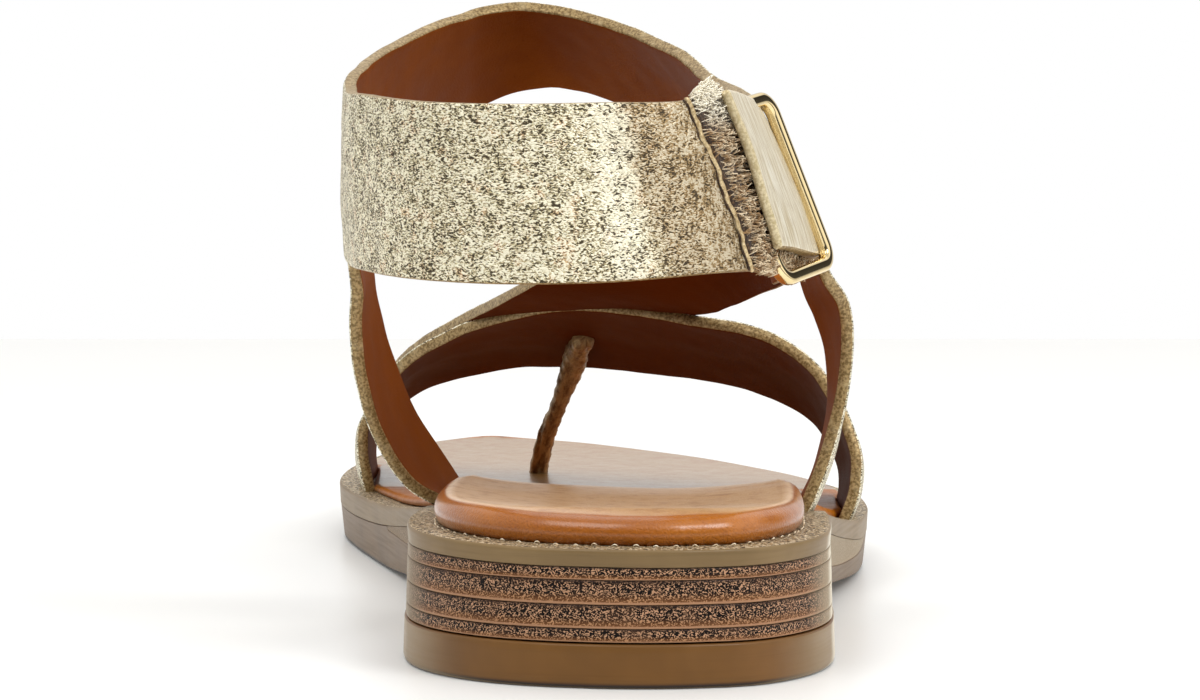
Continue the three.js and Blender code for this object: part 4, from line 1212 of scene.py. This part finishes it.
def pad_low(u, v):
    return rand_top(u, v) + 0.02


def pad_profile():
    out = []
    for deg in (90, 70, 52, 36, 20, 4, -14, -32, -50):
        a = math.radians(deg)
        out.append(lambda u, v, a=a: (
            RIM - 0.25 + pad_r(u) * (1 - math.cos(a)),
            np.maximum(pad_low(u, v), pad_low(u, v) + pad_h(u) * (0.42 + 0.58 * math.sin(a)))))
    return out


def pad_top(u, v):
    edge_, mid_ = pad_h(u), column(SOLE, "mid", u)
    cup = np.clip(1 - (2 * v - 1) ** 2, 0, 1)
    y = column(SOLE, "y", u)
    fall = soft(y, 3.5, 14) * 1.0
    hgt = edge_ + (mid_ - edge_) * cup ** 0.8 * (0.25 + 0.75 * fall)
    return pad_low(u, v) + hgt + 0.12 * np.sin(v * 9 + y * 0.07) * soft(y, 5, 30) * (1 - soft(y, 90, 120)) * cup


insole = layer("padded_insole", [PAD], 0, 20, pad_profile(), pad_top, lambda u, v: pad_low(u, v) - 0.0, cols=34, spacing=1.15, inset_fn=notch)
# the waist's rolled edges, beside the straps, are less polished than the tread area
insole.data.materials.append(PAD_SIDE)
for poly in insole.data.polygons:
    c = poly.center
    if -0.040 < c.y < 0.038 and (c.x < -0.0225 or c.x > 0.0325):
        poly.material_index = 1
seat(insole, "insole", "insole")


# stitches along the foot of the heel pad
uq = np.concatenate([np.linspace(row_at(58), 0, 200)])
lineA = plan(uq, np.zeros_like(uq), RIM - 0.2)
lineC = plan(np.zeros(30), np.linspace(0, 1, 30), RIM - 0.2)
uq2 = np.linspace(0, row_at(52), 200)
lineB = plan(uq2, np.ones_like(uq2), RIM - 0.2)
xy = np.concatenate([lineA, lineC[1:-1], lineB])
keep = np.concatenate([[True], np.linalg.norm(np.diff(xy, axis=0), axis=1) > 0.02])
xy = xy[keep]
zz = np.concatenate([rand_top(uq, 0 * uq), rand_top(np.zeros(28), np.linspace(0, 1, 30)[1:-1]), rand_top(uq2, 1 + 0 * uq2)])[keep]
line3 = np.column_stack([xy, zz + 0.12])
centre_xy = np.array([0.0, 32.0])
outward = unit(xy - centre_xy)
norms = np.column_stack([outward * 0.75, np.full(len(xy), 0.9)])
row_ = stitches("heel_pad_stitches", line3, norms, pitch=2.7, length=0.8, radius=0.1, sink=0.17, seed=3)
seat(row_, "insole")

# ---------------------------------------------------------------- stage
bpy.ops.mesh.primitive_plane_add(size=1.1, location=(0, 0, -0.00005))
floor = bpy.context.object
floor.name = "floor"
fm = Nodes("floor_white", Roughness=0.32, Specular_IOR_Level=0.4)
fm.set(Base_Color=(0.8, 0.8, 0.785, 1), Emission_Color=(1, 1, 1, 1), Emission_Strength=0.06)
floor.data.materials.append(fm.mat)

world = bpy.data.worlds.new("studio")
bpy.context.scene.world = world
world.use_nodes = True
wt = world.node_tree
for n in list(wt.nodes):
    wt.nodes.remove(n)


def wnode(kind, **props):
    n = wt.nodes.new(kind)
    for k, v in props.items():
        setattr(n, k, v)
    return n


def wlink(a, b):
    wt.links.new(a, b)


tc = wnode("ShaderNodeTexCoord")
sep = wnode("ShaderNodeSeparateXYZ")
wlink(tc.outputs["Generated"], sep.inputs[0])


def ramp(value, lo, hi, a, b):
    n = wnode("ShaderNodeMapRange", interpolation_type="SMOOTHSTEP")
    wlink(value, n.inputs["Value"])
    n.inputs["From Min"].default_value, n.inputs["From Max"].default_value = lo, hi
    n.inputs["To Min"].default_value, n.inputs["To Max"].default_value = a, b
    return n.outputs["Result"]


def combine(op, a, b):
    n = wnode("ShaderNodeMath", operation=op)
    for s, v in zip(n.inputs, (a, b)):
        if hasattr(v, "is_linked"):
            wlink(v, s)
        else:
            s.default_value = v
    return n.outputs[0]


top_light = ramp(sep.outputs["Z"], 0.3, 0.8, 0.0, 0.6)
back_wall = ramp(sep.outputs["Y"], 0.1, 0.6, 0.0, 0.66)
left_box = combine("MULTIPLY", ramp(sep.outputs["X"], -0.95, -0.7, 0.6, 0.0), ramp(sep.outputs["Z"], -0.05, 0.15, 0.0, 1.0))
right_box = combine("MULTIPLY", ramp(sep.outputs["X"], 0.65, 0.92, 0.0, 1.1), ramp(sep.outputs["Z"], -0.05, 0.15, 0.0, 1.0))
level = combine("ADD", combine("ADD", top_light, back_wall), combine("ADD", left_box, right_box))
level = combine("ADD", level, ramp(sep.outputs["Y"], -0.98, -0.75, 0.07, 0.16))
# a dark flag where the ring's face looks, for the black core of its reflection
flag = wnode("ShaderNodeVectorMath", operation="DOT_PRODUCT")
wlink(tc.outputs["Generated"], flag.inputs[0])
flag.inputs[1].default_value = (0.793, 0.547, 0.268)
level = combine("MULTIPLY", level, ramp(flag.outputs["Value"], 0.955, 0.985, 1.0, 0.04))
inside = wnode("ShaderNodeBackground")
inside.inputs["Color"].default_value = (1.0, 0.99, 0.975, 1)
wlink(level, inside.inputs["Strength"])
white = wnode("ShaderNodeBackground")
white.inputs["Color"].default_value = (1, 1, 1, 1)
white.inputs["Strength"].default_value = 1.0
lp = wnode("ShaderNodeLightPath")
both = wnode("ShaderNodeMixShader")
wlink(lp.outputs["Is Camera Ray"], both.inputs[0])
wlink(inside.outputs[0], both.inputs[1])
wlink(white.outputs[0], both.inputs[2])
end = wnode("ShaderNodeOutputWorld")
wlink(both.outputs[0], end.inputs[0])


def area(name, where, aim, size, power, colour=(1, 1, 1)):
    d = bpy.data.lights.new(name, "AREA")
    d.shape = "RECTANGLE"
    d.size, d.size_y = size
    d.energy = power
    d.color = colour
    o = bpy.data.objects.new(name, d)
    bpy.context.scene.collection.objects.link(o)
    o.location = where
    v = np.array(aim, float) - np.array(where, float)
    from mathutils import Vector
    o.rotation_euler = Vector(v).to_track_quat("-Z", "Y").to_euler()
    return o


area("key_left", (-0.40, -0.62, 0.86), (0, -0.06, 0.04), (0.5, 0.5), 3.2)
area("key_right", (0.55, -0.62, 0.72), (0, -0.06, 0.05), (0.4, 0.4), 4.9)
overhead = area("top", (0.0, 0.1, 1.1), (0, 0, 0.0), (1.0, 1.0), 4.1)
overhead.visible_glossy = False

cam = bpy.data.cameras.new("camera")
cam.sensor_width = 36.0
cam.lens = 4945.4 / 1200 * 36.0
cam.clip_start, cam.clip_end = 0.01, 50
camera = bpy.data.objects.new("camera", cam)
bpy.context.scene.collection.objects.link(camera)
camera.location = (0.000525, -0.768438, 0.08997)
camera.rotation_euler = Euler((math.radians(90 - 4.032), 0, 0))
bpy.context.scene.camera = camera
bpy.context.scene.view_settings.view_transform = "Standard"
bpy.context.scene.view_settings.look = "None"
